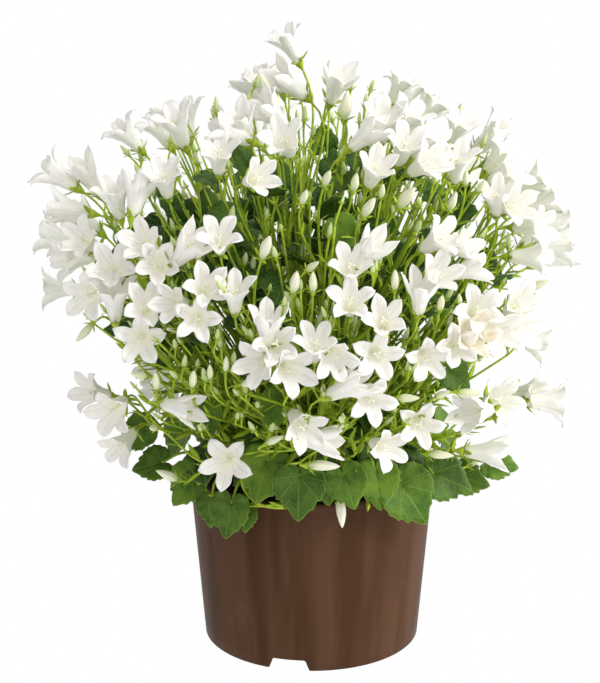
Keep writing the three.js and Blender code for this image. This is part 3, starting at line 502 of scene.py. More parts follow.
def list_shoots():
    """Leafy shoots all through the dome, and where small buds are seen."""
    draw = seeded_draw(SEED.shoots)
    shoots = []
    for i in range(SHOOT.count):
        height = mix(*SHOOT.heights, (i + 0.5) / SHOOT.count)
        out = dome_direction(i, height, SHOOT.jitter * draw())
        goal = out * DOME_RADIUS * vary(draw, *SHOOT.depth) + DOME_CENTRE
        goal[2] = max(goal[2], POT.height + SHOOT.clear)
        shoots.append(dict(goal=goal, buds=1 + int(SHOOT.most_buds * draw())))
    for across, down in SMALL_BUD_SHOOTS:
        goal = meet(ray_through(across, down), DOME_RADIUS * SHOOT.seen_depth)
        shoots.append(dict(goal=goal, buds=SHOOT.most_buds))
    return shoots


def list_low_leaves():
    """Leaves low in the plant, which close its foot above the soil, darkened with painted shade."""
    draw = seeded_draw(SEED.low_leaves)
    leaves = []
    for i in range(LOW_LEAF.count):
        radius = LOW_LEAF.innermost + LOW_LEAF.reach * math.sqrt((i + 0.5) / LOW_LEAF.count)
        height = POT.height + vary(draw, *LOW_LEAF.level)
        # Their tone is at most half, darker than a rim leaf's, as painted shade
        one = dict(middle=ring_point(radius, i * GOLDEN_TURN, height),
                   turn=math.radians(either_way(draw, LOW_LEAF.swing)),
                   size=vary(draw, *LOW_LEAF.size), shade=LOW_LEAF.shade * draw())
        hang_leaf(one)
        up = point(0, 0, vary(draw, *LOW_LEAF.up))
        one["outward"] = unit(one["outward"] + up)
        one["along"] = unit(one["along"] + 0.6 * up)
        one["over"] = mix(CROWN, one["base"], 0.6)
        leaves.append(one)
    return leaves


def list_inner_leaves():
    """Leaves deep in the plant, dark with painted shade, which close the view through its stems."""
    draw = seeded_draw(SEED.inner_leaves)
    leaves = []
    for i in range(INNER_LEAF.count):
        out = dome_direction(i, mix(*INNER_LEAF.heights, (i + 0.5) / INNER_LEAF.count))
        base = out * DOME_RADIUS * vary(draw, *INNER_LEAF.depth) + DOME_CENTRE
        base[2] = max(base[2], POT.height + INNER_LEAF.clear)
        scatter = random_way(draw)
        along = unit(out + scatter * INNER_LEAF.scatter)
        face = unit(np.cross(along, np.cross(INNER_LEAF.face + scatter, along)))
        # Their tone lies mostly near the dark end, as painted shade
        leaves.append(dict(base=base, along=along, outward=face, over=mix(CROWN, base, 0.5),
                           size=vary(draw, *INNER_LEAF.size),
                           shade=INNER_LEAF.shade * draw() ** 2))
    return leaves


# Meshes

def add_object(name, data):
    made = bpy.data.objects.new(name, data)
    bpy.context.scene.collection.objects.link(made)
    return made


class Batch:
    """Parts that become one mesh: corner points, four-sided faces, their UVs, a tone a point."""

    def __init__(self):
        self.points, self.faces, self.uvs, self.tones, self.count = [], [], [], [], 0

    def add(self, shape, turn=None, place=(0, 0, 0), tone=(0, 0, 0)):
        points, faces, uvs = shape[:3]
        if turn is not None:
            points = points @ turn.T
        self.points.append(points + place)
        self.faces.append(faces + self.count)
        self.uvs.append(uvs)
        tones = shape[3] if len(shape) > 3 else np.zeros((len(points), 3))
        self.tones.append(tones + tone)
        self.count += len(points)

    def piece(self, name, material, slot, nodes=()):
        points = np.concatenate(self.points) * MM
        faces = np.concatenate(self.faces)
        mesh = bpy.data.meshes.new(name)
        mesh.vertices.add(len(points))
        mesh.vertices.foreach_set("co", points.astype(np.float32).ravel())
        mesh.loops.add(faces.size)
        mesh.loops.foreach_set("vertex_index", faces.astype(np.int32).ravel())
        mesh.polygons.add(len(faces))
        mesh.polygons.foreach_set("loop_start", np.arange(0, faces.size, 4, dtype=np.int32))
        mesh.polygons.foreach_set("use_smooth", np.ones(len(faces), bool))
        layer = mesh.uv_layers.new(name="shape")
        layer.uv.foreach_set("vector", np.concatenate(self.uvs).astype(np.float32).ravel())
        tones = np.ones((len(points), 4), np.float32)
        tones[:, :3] = np.concatenate(self.tones)
        mesh.color_attributes.new("tone", "FLOAT_COLOR", "POINT")
        mesh.color_attributes["tone"].data.foreach_set("color", tones.ravel())
        mesh.materials.append(material)
        mesh.update(calc_edges=True)
        made = add_object(name, mesh)
        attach(made, "root")
        if nodes:
            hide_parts(*nodes)


def grid_faces(rows, columns, closed):
    """Faces between rows of points. A closed row joins its last point to its first."""
    across = columns if closed else columns - 1
    i, j = np.meshgrid(np.arange(rows - 1), np.arange(across), indexing="ij")
    i, j = i.ravel(), j.ravel()
    a, b = i * columns + j, i * columns + (j + 1) % columns
    faces = np.stack([a, b, b + columns, a + columns], 1)
    left, right = j / across, (j + 1) / across
    low, high = i / (rows - 1), (i + 1) / (rows - 1)
    uvs = np.stack([left, low, right, low, right, high, left, high], 1).reshape(-1, 4, 2)
    return faces, uvs


def thicken(shape, thickness):
    """A sheet with a second side behind it and a rim between the two."""
    points, faces, uvs = shape
    corner = points[faces]
    flat = np.cross(corner[:, 2] - corner[:, 0], corner[:, 3] - corner[:, 1])
    normals = np.zeros_like(points)
    for k in range(4):
        np.add.at(normals, faces[:, k], flat)
    normals /= np.linalg.norm(normals, axis=1, keepdims=True) + 1e-12
    count = len(points)
    sides = np.concatenate([faces[:, [k, (k + 1) % 4]] for k in range(4)])
    corners = np.concatenate([uvs[:, [k, (k + 1) % 4]] for k in range(4)])
    key = np.sort(sides, axis=1) @ [count, 1]
    _, first, times = np.unique(key, return_index=True, return_counts=True)
    rim = first[times == 1]
    a, b = sides[rim, 0], sides[rim, 1]
    rim_faces = np.stack([b, a, a + count, b + count], 1)
    rim_uvs = np.stack([corners[rim, k] for k in (1, 0, 0, 1)], 1)
    return (
        np.concatenate([points, points - normals * thickness]),
        np.concatenate([faces, faces[:, ::-1] + count, rim_faces]),
        np.concatenate([uvs, uvs[:, ::-1], rim_uvs]),
    )


def curve_through(points, steps):
    """Points on one smooth curve through the given ones."""
    points = [np.asarray(p, float) for p in points]
    ends = [2 * points[0] - points[1], *points, 2 * points[-1] - points[-2]]
    found = []
    for i in range(1, len(ends) - 2):
        p0, p1, p2, p3 = ends[i - 1 : i + 3]
        for step in range(steps):
            t = step / steps
            found.append(
                0.5 * (2 * p1 + (p2 - p0) * t + (2 * p0 - 5 * p1 + 4 * p2 - p3) * t**2
                       + (3 * p1 - p0 - 3 * p2 + p3) * t**3)
            )
    return np.array([*found, ends[-2]])


def bow(start, start_way, end, end_way, steps):
    """A curve that leaves one place in a direction and reaches another in a direction."""
    reach = np.linalg.norm(end - start)
    a, b = start + start_way * reach * 0.38, end - end_way * reach * 0.38
    t = np.linspace(0, 1, steps + 1)[:, None]
    return (1 - t) ** 3 * start + 3 * (1 - t) ** 2 * t * a + 3 * (1 - t) * t**2 * b + t**3 * end


def tube(path, radii, sides=5):
    """A round tube along a path. Its ends are closed by a tiny ring."""
    path = np.concatenate([path[:1], path, path[-1:]])
    radii = np.concatenate([[TINY], radii, [TINY]])
    along = np.gradient(path, axis=0)
    along[0], along[-1] = along[1], along[-2]
    along /= np.linalg.norm(along, axis=1, keepdims=True) + 1e-12
    side = np.cross(along[0], [0.3, 0.9, 0.2])
    angles = np.arange(sides) * TAU / sides
    rings = []
    for i in range(len(path)):
        side = unit(side - along[i] * (side @ along[i]))
        over = np.cross(along[i], side)
        ring = np.outer(np.cos(angles), side) + np.outer(np.sin(angles), over)
        rings.append(path[i] + ring * radii[i])
    return np.concatenate(rings), *grid_faces(len(path), sides, True)


def about_axis(radius, angle, height):
    """Rows of points about +Z, from their radius, angle and height."""
    x, y = radius * np.cos(angle), radius * np.sin(angle)
    return np.stack([x, y, np.broadcast_to(height, x.shape)], 2).reshape(-1, 3)


def lathe(profile, sides):
    """A round shape about +Z from radius and height pairs, going outwards and up."""
    profile = np.asarray(profile, float)
    points = about_axis(profile[:, :1], np.arange(sides) * TAU / sides, profile[:, 1:])
    return points, *grid_faces(len(profile), sides, True)


# Petals, calyces and buds

TUBE_PROFILE = [(0.05, 0.1), (2.4, 0.5), (3.1, 2.8), (3.6, 6.4), (4.7, 10.2), (6.3, 13)]
TUBE_RIB = 0.035
PETAL_THICKNESS = 0.3

# Two places are those of a shut and of a wide open bell, as radius and height
LOBE = Values(
    columns=4, rows=8, bend=((1.2, 6.2), (3.6, 5.6)), tip=((7.6, 24.5), (12.3, 16.0)),
    tip_spread=(1.2, 2.2), half_width=3.05, wide=(0.94, 0.14), swell=2.6, taper=1.25, end=0.1,
    sway=1.6, cup=(0.6, 0.5), curl=-0.12, keel=0.26, sunk=0.1, ruffle=0.5,
)
CALYX_CUP = [(0.6, -4.4), (1.0, -3.4), (2.0, -1.4), (2.4, 0.0), (0.5, -0.1)]
SEPAL = Values(rise=(0.28, 0.5), length=(5.4, 1.4), ring=1.6, sunk=0.2, half_width=1.15, lift=0.16)
STYLE = Values(
    path=[(0, 0, 2), (0, 0, 7), (0.2, 0.1, 12.6)], radii=(0.95, 0.75, 0.6), tone=(0.8, 0, 0),
    lobes=3, fork=point(0.2, 0.1, 12.4), curl=[(0, 0), (0.6, 0.9), (1.5, 1.3), (2.0, 0.7)],
    lobe_radii=(0.6, 0.6, 0.5, 0.32),
)


def lobe_points(k, open_share, variant, draw):
    """Rows of points from just past the throat to the tip of one lobe, which curls outwards."""
    start = np.array(TUBE_PROFILE[-1], float)
    bend = start + mix(*np.array(LOBE.bend), open_share)
    tip = mix(*np.array(LOBE.tip), open_share)
    tip = tip + [either_way(draw, spread) for spread in LOBE.tip_spread]
    wide, sway, cup = vary(draw, *LOBE.wide), either_way(draw, LOBE.sway), vary(draw, *LOBE.cup)
    out = ring_point(1, TAU * (k + 0.5) / LOBES, 0)
    aside = np.cross([0, 0, 1], out)
    across = np.linspace(-1, 1, LOBE.columns + 1)
    rows = []
    for i in range(1, LOBE.rows + 1):
        s = i / LOBE.rows
        spine = (1 - s) ** 2 * start + 2 * s * (1 - s) * bend + s * s * tip
        way = unit(2 * (1 - s) * (bend - start) + 2 * s * (tip - bend))
        half = LOBE.half_width * (1 - s) ** LOBE.taper * (1 + LOBE.swell * s) * wide
        half = max(half, LOBE.end)
        hollow = mix(0.5 * cup, LOBE.curl, s) * half * across**2
        hollow += LOBE.keel * half * np.abs(across) - LOBE.sunk * half
        hollow += LOBE.ruffle * s * across**2 * np.sin(7 * s + 2.5 * across + 3 * k + variant)
        radius = spine[0] - way[1] * hollow
        height = spine[1] + way[0] * hollow
        shift = across * half + sway * s * s
        rows.append(np.outer(radius, out) + np.outer(shift, aside) + np.outer(height, [0, 0, 1]))
    return np.concatenate(rows)


@cache
def bell_shape(open_share, variant):
    """A five-lobed funnel along +Z, with a ribbed tube. Its third tone marks the inner side."""
    draw = seeded_draw(SEED.lobes + variant)
    columns = LOBE.columns
    sides = LOBES * columns
    ring = np.arange(sides) / columns
    rib = TUBE_RIB * np.cos(TAU * (ring % 1 - 0.5))
    profile = np.array(TUBE_PROFILE, float)
    radius, height = profile[:, :1], profile[:, 1:]
    points = [about_axis(radius * (1 + rib * height / BELL.tube), ring * TAU / LOBES, height)]
    faces, uvs = grid_faces(len(profile), sides, True)
    # Each lobe's part of the ring has its own run of U, from 0 to 1
    uvs = np.stack([uvs[..., 0] * LOBES % 1.0000001, uvs[..., 1] * 0.5], 2)
    right = uvs[:, [1, 2], 0]
    uvs[:, [1, 2], 0] = np.where(right < 1e-3, 1.0, right)
    all_faces, all_uvs = [faces], [uvs]
    count = len(points[0])
    top = count - sides
    lobe_faces, lobe_uvs = grid_faces(LOBE.rows + 1, columns + 1, False)
    lobe_uvs = np.stack([lobe_uvs[..., 0], 0.5 + lobe_uvs[..., 1] * 0.5], 2)
    for k in range(LOBES):
        points.append(lobe_points(k, open_share, variant, draw))
        base_row = top + (k * columns + np.arange(columns + 1)) % sides
        index = np.concatenate([base_row, count + np.arange(LOBE.rows * (columns + 1))])
        all_faces.append(index[lobe_faces])
        all_uvs.append(lobe_uvs)
        count += LOBE.rows * (columns + 1)
    sheet = np.concatenate(points), np.concatenate(all_faces), np.concatenate(all_uvs)
    tones = np.zeros((2 * count, 3))
    tones[count:, 2] = 1
    return *thicken(sheet, PETAL_THICKNESS), tones


def style_shape():
    """The style with its three short curled stigma lobes."""
    parts = Batch()
    parts.add(tube(STYLE.path, STYLE.radii, 6))
    for k in range(STYLE.lobes):
        out = ring_point(1, TAU * k / STYLE.lobes, 0)
        parts.add(tube([STYLE.fork + out * r + point(0, 0, z) for r, z in STYLE.curl],
                       STYLE.lobe_radii))
    return np.concatenate(parts.points), np.concatenate(parts.faces), np.concatenate(parts.uvs)


@cache
def sliver_form(rows=5, widest=0.38):
    """How far along each row of a narrow pointed leaf is, its half width there, and its faces."""
    share = np.linspace(0, 1, rows)
    rising = 0.42 + 0.58 * np.sin(share / widest * math.pi / 2)
    falling = np.cos((share - widest) / (1 - widest) * math.pi / 2).clip(0) ** 0.85
    half = np.maximum(np.where(share < widest, rising, falling), 0.06)
    return share[:, None], half[:, None], *grid_faces(rows, 4, True)


def blade_turn(along, face):
    side = unit(np.cross(face, along))
    return np.stack([along, side, np.cross(along, side)], 1)


def add_sliver(batch, base, along, face, length, half_width, shade, lift):
    """A narrow pointed leaf: each row has two edges, a ridge below and a fold above."""
    share, half, faces, uvs = sliver_form()
    x = np.repeat(share * length, 4, 1)
    y = half * half_width * [1, 0, -1, 0]
    z = half * half_width * [0.3, 0, 0.3, 0] + lift * length * share**2 + half * [0, 0.15, 0, -0.2]
    points = np.stack([x, y, z], 2).reshape(-1, 3)
    batch.add((points, faces, uvs), blade_turn(along, face), base, (shade, 0, 0))


def add_calyx(batch, base, turn, size, shade, draw, reach=1.0):
    """A cup under the bell or bud and five narrow spreading sepals."""
    points, faces, uvs = lathe(CALYX_CUP, 8)
    batch.add((points * size, faces, uvs), turn, base, (shade, 0, 0))
    for k in range(LOBES):
        rise = vary(draw, *SEPAL.rise)
        out = ring_point(1, TAU * k / LOBES, 0)
        along = unit(out + point(0, 0, rise))
        face = unit(point(0, 0, 1) - out * rise)
        length = vary(draw, *SEPAL.length) * size * reach
        start = base + turn @ (out * SEPAL.ring - point(0, 0, SEPAL.sunk)) * size
        add_sliver(batch, start, turn @ along, turn @ face, length, SEPAL.half_width * size,
                   shade, SEPAL.lift)


@cache
def bud_shape(rows=8, columns=15, radius=0.155, rib=0.13, twist=0.5):
    """A pointed bud with five soft ribs, one long, about as thick as a third of that."""
    s = np.linspace(0, 1, rows)[:, None]
    radius = radius * np.sin(math.pi * s**0.78) ** 0.72 * (1 - 0.25 * s) + 0.02
    radius[0], radius[-1] = 0.05, 0.012
    angle = np.arange(columns) * TAU / columns
    points = about_axis(radius * (1 + rib * np.cos(LOBES * angle)), angle + twist * s, s)
    return points, *grid_faces(rows, columns, True)


def add_bud(stems, buds, base, turn, size, tone, cup, shade, draw, reach=1.0):
    """A bud and its calyx: size is a share of a full bud, cup a share of a bell's calyx."""
    points, faces, uvs = bud_shape()
    buds.add((points * (BUD_LENGTH * size), faces, uvs), turn, base, tone)
    add_calyx(stems, base, turn, cup, shade, draw, reach)


# Heart-shaped leaves

LEAF_OUTLINE = [
    (0, 18.6), (8, 16.4), (18, 14.6), (33, 13.2), (50, 12.4), (65, 11.6), (80, 10.8), (100, 9.8),
    (120, 8.8), (140, 7.4), (155, 5.8), (168, 3.4), (180, 1.8),
]
HEART = Values(
    teeth=10, tooth=0.10, wave=(0.6, 1.0), droop=(1.2, 2.4), fold=(0.12, 0.12), ripple=0.35,
    reach=21, thickness=0.45,
)
LEAF_SHRINK = 0.88
LEAF_VARIANTS = 6

# Spokes and rings of a blade's mesh
FINE_HEART = (60, 5)
PLAIN_HEART = (30, 3)


@cache
def heart_shape(variant, spokes, rings):
    """A toothed heart-shaped blade about its stalk's end, tip along +X, face up."""
    draw = seeded_draw(SEED.hearts + variant)
    phase, wave = TAU * draw(), vary(draw, *HEART.wave)
    droop, fold = vary(draw, *HEART.droop), vary(draw, *HEART.fold)
    degrees, reach = zip(*LEAF_OUTLINE)
    angle = (np.arange(spokes + 1) / spokes * 2 - 1) * math.pi
    outline = np.interp(np.degrees(np.abs(angle)), degrees, reach)
    tooth = (np.abs(angle) / math.pi * HEART.teeth) % 1
    fade = np.clip(np.abs(angle) / 0.25, 0, 1)
    outline = outline * (1 + HEART.tooth * (0.5 - np.abs(tooth - 0.3) / 0.7) * fade)
    share = np.concatenate([[0.015], np.linspace(0, 1, rings + 1)[1:] ** 0.8])[:, None]
    x, y = share * outline * np.cos(angle), share * outline * np.sin(angle)
    z = fold * np.abs(y) + HEART.ripple * wave * share**2 * np.sin(5 * angle + phase)
    z = z - droop * (x / HEART.reach) ** 2 * (x > 0) + HEART.ripple * np.cos(9 * angle) * share**2
    points = np.stack([x, y, z], 2).reshape(-1, 3)
    faces, uvs = grid_faces(rings + 1, spokes + 1, False)
    return thicken((points, faces[:, ::-1], uvs[:, ::-1]), HEART.thickness)


def add_heart(batch, base, along, face, size, shade, variant, fine):
    points, faces, uvs = heart_shape(variant, *(FINE_HEART if fine else PLAIN_HEART))
    turn = blade_turn(along, unit(face - along * (face @ along)))
    place = base + along * LEAF.stalk_end * size
    batch.add((points * size, faces, uvs), turn, place, (shade, 0, 0))


# Materials

# Colours, as linear red, green and blue
COLOUR = Values(
    petal=((0.87, 0.845, 0.795), (0.92, 0.895, 0.85)),
    petal_vein=(0.68, 0.67, 0.60),
    # The colour of the light painted on the petals and buds, which glow with it
    petal_glow=(1.0, 0.99, 0.88),
    throat=(0.90, 0.92, 0.58),
    bud=((0.50, 0.63, 0.20), (0.84, 0.83, 0.60)),
    young_bud=(0.38, 0.53, 0.07),
    withered=((0.74, 0.56, 0.30), (0.88, 0.80, 0.60)),
    fresh_stem=((0.36, 0.52, 0.018), (0.58, 0.70, 0.065)),
    deep_stem=((0.030, 0.09, 0.006), (0.075, 0.18, 0.014)),
    light_leaf=((0.060, 0.14, 0.007), (0.150, 0.26, 0.017)),
    # The dark end is the leaves' own deep green and, for leaves low and deep in the plant, painted
    # shade
    dark_leaf=((0.010, 0.040, 0.006), (0.028, 0.085, 0.012)),
    leaf_vein=(0.22, 0.37, 0.05),
    leaf_margin=(0.26, 0.38, 0.06),
    pot=((0.064, 0.030, 0.0150), (0.100, 0.049, 0.028)),
    scuff=(0.12, 0.07, 0.048),
    soil=((0.010, 0.006, 0.004), (0.045, 0.026, 0.016)),
    floor=(1, 1, 1),
)

# Noise in the materials: how many waves to a metre, and how much detail
NOISE = dict(
    petal=(260.0, 4.0), stem=(190.0, 4.0), stem_grain=(900.0, 2.0), leaf=(120.0, 5.0),
    streaks=(70.0, 3.0), plastic_grain=(420.0, 2.0), scuffs=(38.0, 6.0),
    soil=(260.0, 6.0), soil_grain=(700.0, 4.0),
)
LOBE_VEINS = 7.0
LEAF_VEINS = 9.0
LEAF_NET = 420.0

# The colour sockets of a Mix node, which come after those for its other kinds of data
MIX_SOCKETS = (0, 6, 7)
MIX_RESULT = 2


class Wiring:
    """Short calls for the nodes that a material needs."""

    def __init__(self, name, roughness, **sockets):
        self.material = bpy.data.materials.new(name)
        self.material.use_nodes = True
        self.nodes = self.material.node_tree.nodes
        self.links = self.material.node_tree.links
        self.shader = self.nodes["Principled BSDF"]
        for socket, value in dict(Roughness=roughness, **sockets).items():
            self.feed(self.shader.inputs[socket.replace("_", " ")], value)

    def feed(self, socket, value):
        """Links a socket, or sets it to a number or a colour."""
        if isinstance(value, bpy.types.NodeSocket):
            self.links.new(value, socket)
        elif isinstance(value, tuple) and socket.type == "RGBA":
            socket.default_value = (*value, 1)
        else:
            socket.default_value = value

    def node(self, kind, *ordered, **named):
        """A node with its sockets fed in their order or by their names."""
        made = self.nodes.new(kind)
        for socket, value in zip(made.inputs, ordered):
            self.feed(socket, value)
        for key, value in named.items():
            self.feed(made.inputs[key], value)
        return made

    def math(self, operation, a, b=0.0, clamp=False):
        made = self.node("ShaderNodeMath", a, b)
        made.operation = operation
        made.use_clamp = clamp
        return made.outputs[0]

    def times(self, a, b):
        return self.math("MULTIPLY", a, b)

    def ramp(self, value, low, high, start=0.0, end=1.0):
        """Goes smoothly from start to end as the value goes from low to high."""
        made = self.node("ShaderNodeMapRange", value, low, high, start, end)
        made.interpolation_type = "SMOOTHSTEP"
        return made.outputs["Result"]

    def blend(self, share, a, b):
        made = self.nodes.new("ShaderNodeMix")
        made.data_type = "RGBA"
        for index, value in zip(MIX_SOCKETS, (share, a, b)):
            self.feed(made.inputs[index], value)
        return made.outputs[MIX_RESULT]

    def range(self, value, colours, low=0.3, high=0.7):
        """From the first of two colours to the second, as the value goes from low to high."""
        return self.blend(self.ramp(value, low, high), *colours)

    def tone(self):
        made = self.nodes.new("ShaderNodeAttribute")
        made.attribute_name = "tone"
        return self.node("ShaderNodeSeparateColor", Color=made.outputs["Color"]).outputs

    def shape_uv(self):
        made = self.nodes.new("ShaderNodeUVMap")
        made.uv_map = "shape"
        return self.node("ShaderNodeSeparateXYZ", Vector=made.outputs["UV"]).outputs

    def place(self):
        return self.nodes.new("ShaderNodeTexCoord").outputs["Object"]

    def noise(self, kind, vector=None):
        scale, detail = NOISE[kind]
        made = self.node("ShaderNodeTexNoise", Vector=vector or self.place(), Scale=scale,
                         Detail=detail)
        return made.outputs["Fac"]

    def finish(self, colour, height, strength, distance, roughness=None):
        self.feed(self.shader.inputs["Base Color"], colour)
        bump = self.node("ShaderNodeBump", Height=height, Strength=strength, Distance=distance)
        self.feed(self.shader.inputs["Normal"], bump.outputs["Normal"])
        if roughness is not None:
            self.feed(self.shader.inputs["Roughness"], roughness)
        return self.material


def petal_material():
    """Warm white with faint veins, pale green at the foot of the tube.

    Tone is cream for a bud, withered, and then young for a bud or inside for a bell: a young bud
    is green, and the inside of a bell's tube glows with painted light, most at its foot. Every
    petal and bud also glows faintly with painted light.
    """
    w = Wiring("white_petal", 0.5, Subsurface_Weight=0.3, Subsurface_Scale=0.002,
               Specular_IOR_Level=0.3, Emission_Color=COLOUR.petal_glow)
    w.shader.inputs["Subsurface Radius"].default_value = (1.0, 1.0, 0.8)
    tone, uv = w.tone(), w.shape_uv()
    vein_wave = w.math("PINGPONG", w.times(uv[0], LOBE_VEINS), 0.5)
    vein = w.ramp(vein_wave, 0.0, 0.13, 1.0, 0.0)
    middle = w.ramp(w.math("ABSOLUTE", w.math("SUBTRACT", uv[0], 0.5)), 0.0, 0.05, 1.0, 0.0)
    vein = w.math("MAXIMUM", w.times(vein, 0.45), middle)
    patchy = w.noise("petal")
    white = w.range(patchy, COLOUR.petal)
    white = w.blend(w.times(vein, 0.5), white, COLOUR.petal_vein)
    white = w.blend(w.ramp(uv[1], 0.02, 0.36, 0.6, 0.0), white, COLOUR.throat)
    colour = w.blend(tone[0], white, w.range(uv[1], COLOUR.bud, 0.0, 0.5))
    colour = w.blend(w.times(tone[0], tone[2]), colour, COLOUR.young_bud)
    colour = w.blend(tone[1], colour, w.range(patchy, COLOUR.withered, 0.35, 0.6))
    # Painted light: the inside of a bell's tube glows, most at its foot, and every petal a little
    inside = w.times(tone[2], w.math("SUBTRACT", 1.0, tone[0]))
    glow = w.times(inside, w.ramp(uv[1], 0.1, 0.6, 0.16, 0.0))
    w.feed(w.shader.inputs["Emission Strength"], w.math("ADD", glow, 0.05))
    height = w.math("ADD", w.times(vein, -0.6), w.times(patchy, 0.5))
    return w.finish(colour, height, strength=0.6, distance=0.0004)


def stem_material():
    """Deep green to yellow-green by tone, a little mottled."""
    w = Wiring("green_stem", 0.55, Specular_IOR_Level=0.22)
    mottle = w.noise("stem")
    deep, fresh = w.range(mottle, COLOUR.deep_stem), w.range(mottle, COLOUR.fresh_stem)
    colour = w.blend(w.tone()[0], deep, fresh)
    return w.finish(colour, w.noise("stem_grain"), strength=0.25, distance=0.0002)


def leaf_material():
    """Dark to light green by tone, the dark end partly painted shade. Veins fan out from the stalk,
    with a fine net between them.
    """
    w = Wiring("green_leaf", 0.5, Specular_IOR_Level=0.2)
    tone, uv = w.tone(), w.shape_uv()
    spoke = w.math("PINGPONG", w.times(w.math("SUBTRACT", uv[0], 0.5), LEAF_VEINS), 0.5)
    width = w.math("DIVIDE", 0.028, w.math("ADD", uv[1], 0.12))
    main = w.math("SUBTRACT", 1.0, w.math("DIVIDE", spoke, width), clamp=True)
    net_node = w.node("ShaderNodeTexVoronoi", Vector=w.place(), Scale=LEAF_NET)
    net_node.feature = "DISTANCE_TO_EDGE"
    net = w.ramp(net_node.outputs["Distance"], 0.0, 0.12, 1.0, 0.0)
    veins = w.math("MAXIMUM", main, w.times(net, 0.22))
    mottle = w.noise("leaf")
    dark, light = w.range(mottle, COLOUR.dark_leaf), w.range(mottle, COLOUR.light_leaf)
    colour = w.blend(tone[0], dark, light)
    colour = w.blend(w.times(veins, 0.65), colour, COLOUR.leaf_vein)
    colour = w.blend(w.ramp(uv[1], 0.93, 1.0, 0.0, 0.5), colour, COLOUR.leaf_margin)
    height = w.math("SUBTRACT", w.times(mottle, 0.4), veins)
    return w.finish(colour, height, strength=0.5, distance=0.0004)


def pot_material():
    """Brown moulded plastic: satin, with faint upright streaks and a few scuffs."""
    w = Wiring("brown_plastic", 0.4, Specular_IOR_Level=0.03)
    stretch = w.node("ShaderNodeMapping", w.place())
    stretch.inputs["Scale"].default_value = (1.0, 1.0, 0.04)
    streaks = w.noise("streaks", stretch.outputs["Vector"])
    fine = w.noise("plastic_grain", stretch.outputs["Vector"])
    scuff = w.ramp(w.noise("scuffs"), 0.62, 0.75, 0.0, 0.35)
    colour = w.blend(scuff, w.range(streaks, COLOUR.pot, 0.35, 0.65), COLOUR.scuff)
    grain = w.math("ADD", w.times(streaks, 0.6), w.times(fine, 0.4))
    roughness = w.ramp(grain, 0.3, 0.7, 0.36, 0.5)
    return w.finish(colour, fine, strength=0.08, distance=0.0002, roughness=roughness)


def soil_material():
    w = Wiring("potting_soil", 0.95)
    colour = w.range(w.noise("soil"), COLOUR.soil, 0.35, 0.65)
    return w.finish(colour, w.noise("soil_grain"), strength=0.9, distance=0.001)


# The pot and its soil

def outer_radius(height):
    return mix(POT.foot, POT.rim, height / POT.height)


def pot_profile():
    """From the middle of the underside, round the foot and the lip, to the floor's top.

    The small steps of less than a millimetre soften its edges.
    """
    under, foot, top = POT.floor, POT.foot, POT.height
    floor_top = under + POT.plate
    inside, mouth = foot - POT.wall, POT.rim - POT.wall
    lip = top - POT.lip_height
    edge = POT.rim + POT.lip_reach
    profile = [
        (DRAIN.plate, under), (inside - 0.6, under), (inside, under - 0.5), (inside, 0.4),
        (inside + 0.3, 0.02), (foot - 0.4, 0.0), (foot + 0.03, 0.4),
    ]
    for height in np.linspace(6.4, lip - 1.2, 14):
        profile.append((outer_radius(height), height))
    profile += [
        (outer_radius(lip) + 0.15, lip - 0.4), (edge - 0.15, lip + 0.5), (edge, lip + 1.0),
        (edge, top - 0.6), (edge - 0.25, top - 0.1), (edge - 0.7, top), (mouth + 0.4, top),
        (mouth, top - 0.5),
    ]
    for height in np.linspace(lip - 6, floor_top + 1, 5):
        profile.append((outer_radius(height) - POT.wall, height))
    last = outer_radius(floor_top) - POT.wall - 0.6
    return profile + [(last, floor_top), (DRAIN.plate, floor_top)]


def notch_height(angle):
    """How high the foot is cut away at an angle round the pot, with soft corners."""
    height = 0.0
    for i in range(NOTCH.count):
        middle = math.radians(NOTCH.first - 90) + TAU * i / NOTCH.count
        gap = abs((angle - middle + math.pi) % TAU - math.pi) * POT.foot
        share = min(max((NOTCH.width / 2 - gap) / NOTCH.side, 0), 1)
        height = max(height, NOTCH.height * share * share * (3 - 2 * share))
    return height


def make_pot():
    sides = 360
    points, faces, uvs = lathe(pot_profile(), sides)
    limit = POT.floor + 0.3
    cut = np.array([notch_height(TAU * k / sides) for k in range(sides)])
    cut = np.tile(cut, len(points) // sides)
    radius = np.hypot(points[:, 0], points[:, 1])
    skirt = (points[:, 2] < limit - 0.9) & (radius > POT.foot - POT.wall - 0.3)
    squeezed = cut + points[:, 2] * (1 - cut / limit)
    points[:, 2] = np.where(skirt, squeezed, points[:, 2])
    batch = Batch()
    batch.add((points, faces, uvs))
    batch.add(drained_floor())
    batch.piece("pot_shell", pot_material(), "plastic", ["pot"])


def drained_floor():
    """The middle of the pot's floor: a plate with round drain holes, joined to the outer ring."""
    sides, rings = 180, 24
    radii = np.concatenate([[0.3], np.linspace(2, DRAIN.plate, rings)])
    angles = np.arange(sides) * TAU / sides
    flat = about_axis(radii[:, None], angles, 0)[:, :2]
    holes = [ring_point(DRAIN.ring, TAU * (i + 0.5) / DRAIN.count, 0)[:2]
             for i in range(DRAIN.count)]
    away = [np.linalg.norm(flat - hole, axis=1) for hole in holes]
    for hole, gap in zip(holes, away):
        near = (gap < DRAIN.radius + 0.9) & (gap > DRAIN.radius - 0.9)
        flat[near] = hole + (flat[near] - hole) / gap[near, None] * DRAIN.radius
    points = np.column_stack([flat, np.full(len(flat), POT.floor + POT.plate)])
    faces, uvs = grid_faces(len(radii), sides, True)
    inside = np.min([np.linalg.norm(flat - hole, axis=1) for hole in holes], axis=0)
    keep = ~(inside[faces] < DRAIN.radius - 1e-6).any(1)
    faces = faces[keep][:, ::-1]
    used, faces = np.unique(faces, return_inverse=True)
    points, uvs = points[used], uvs[keep][:, ::-1]
    return thicken((points, faces.reshape(-1, 4), uvs), POT.plate)


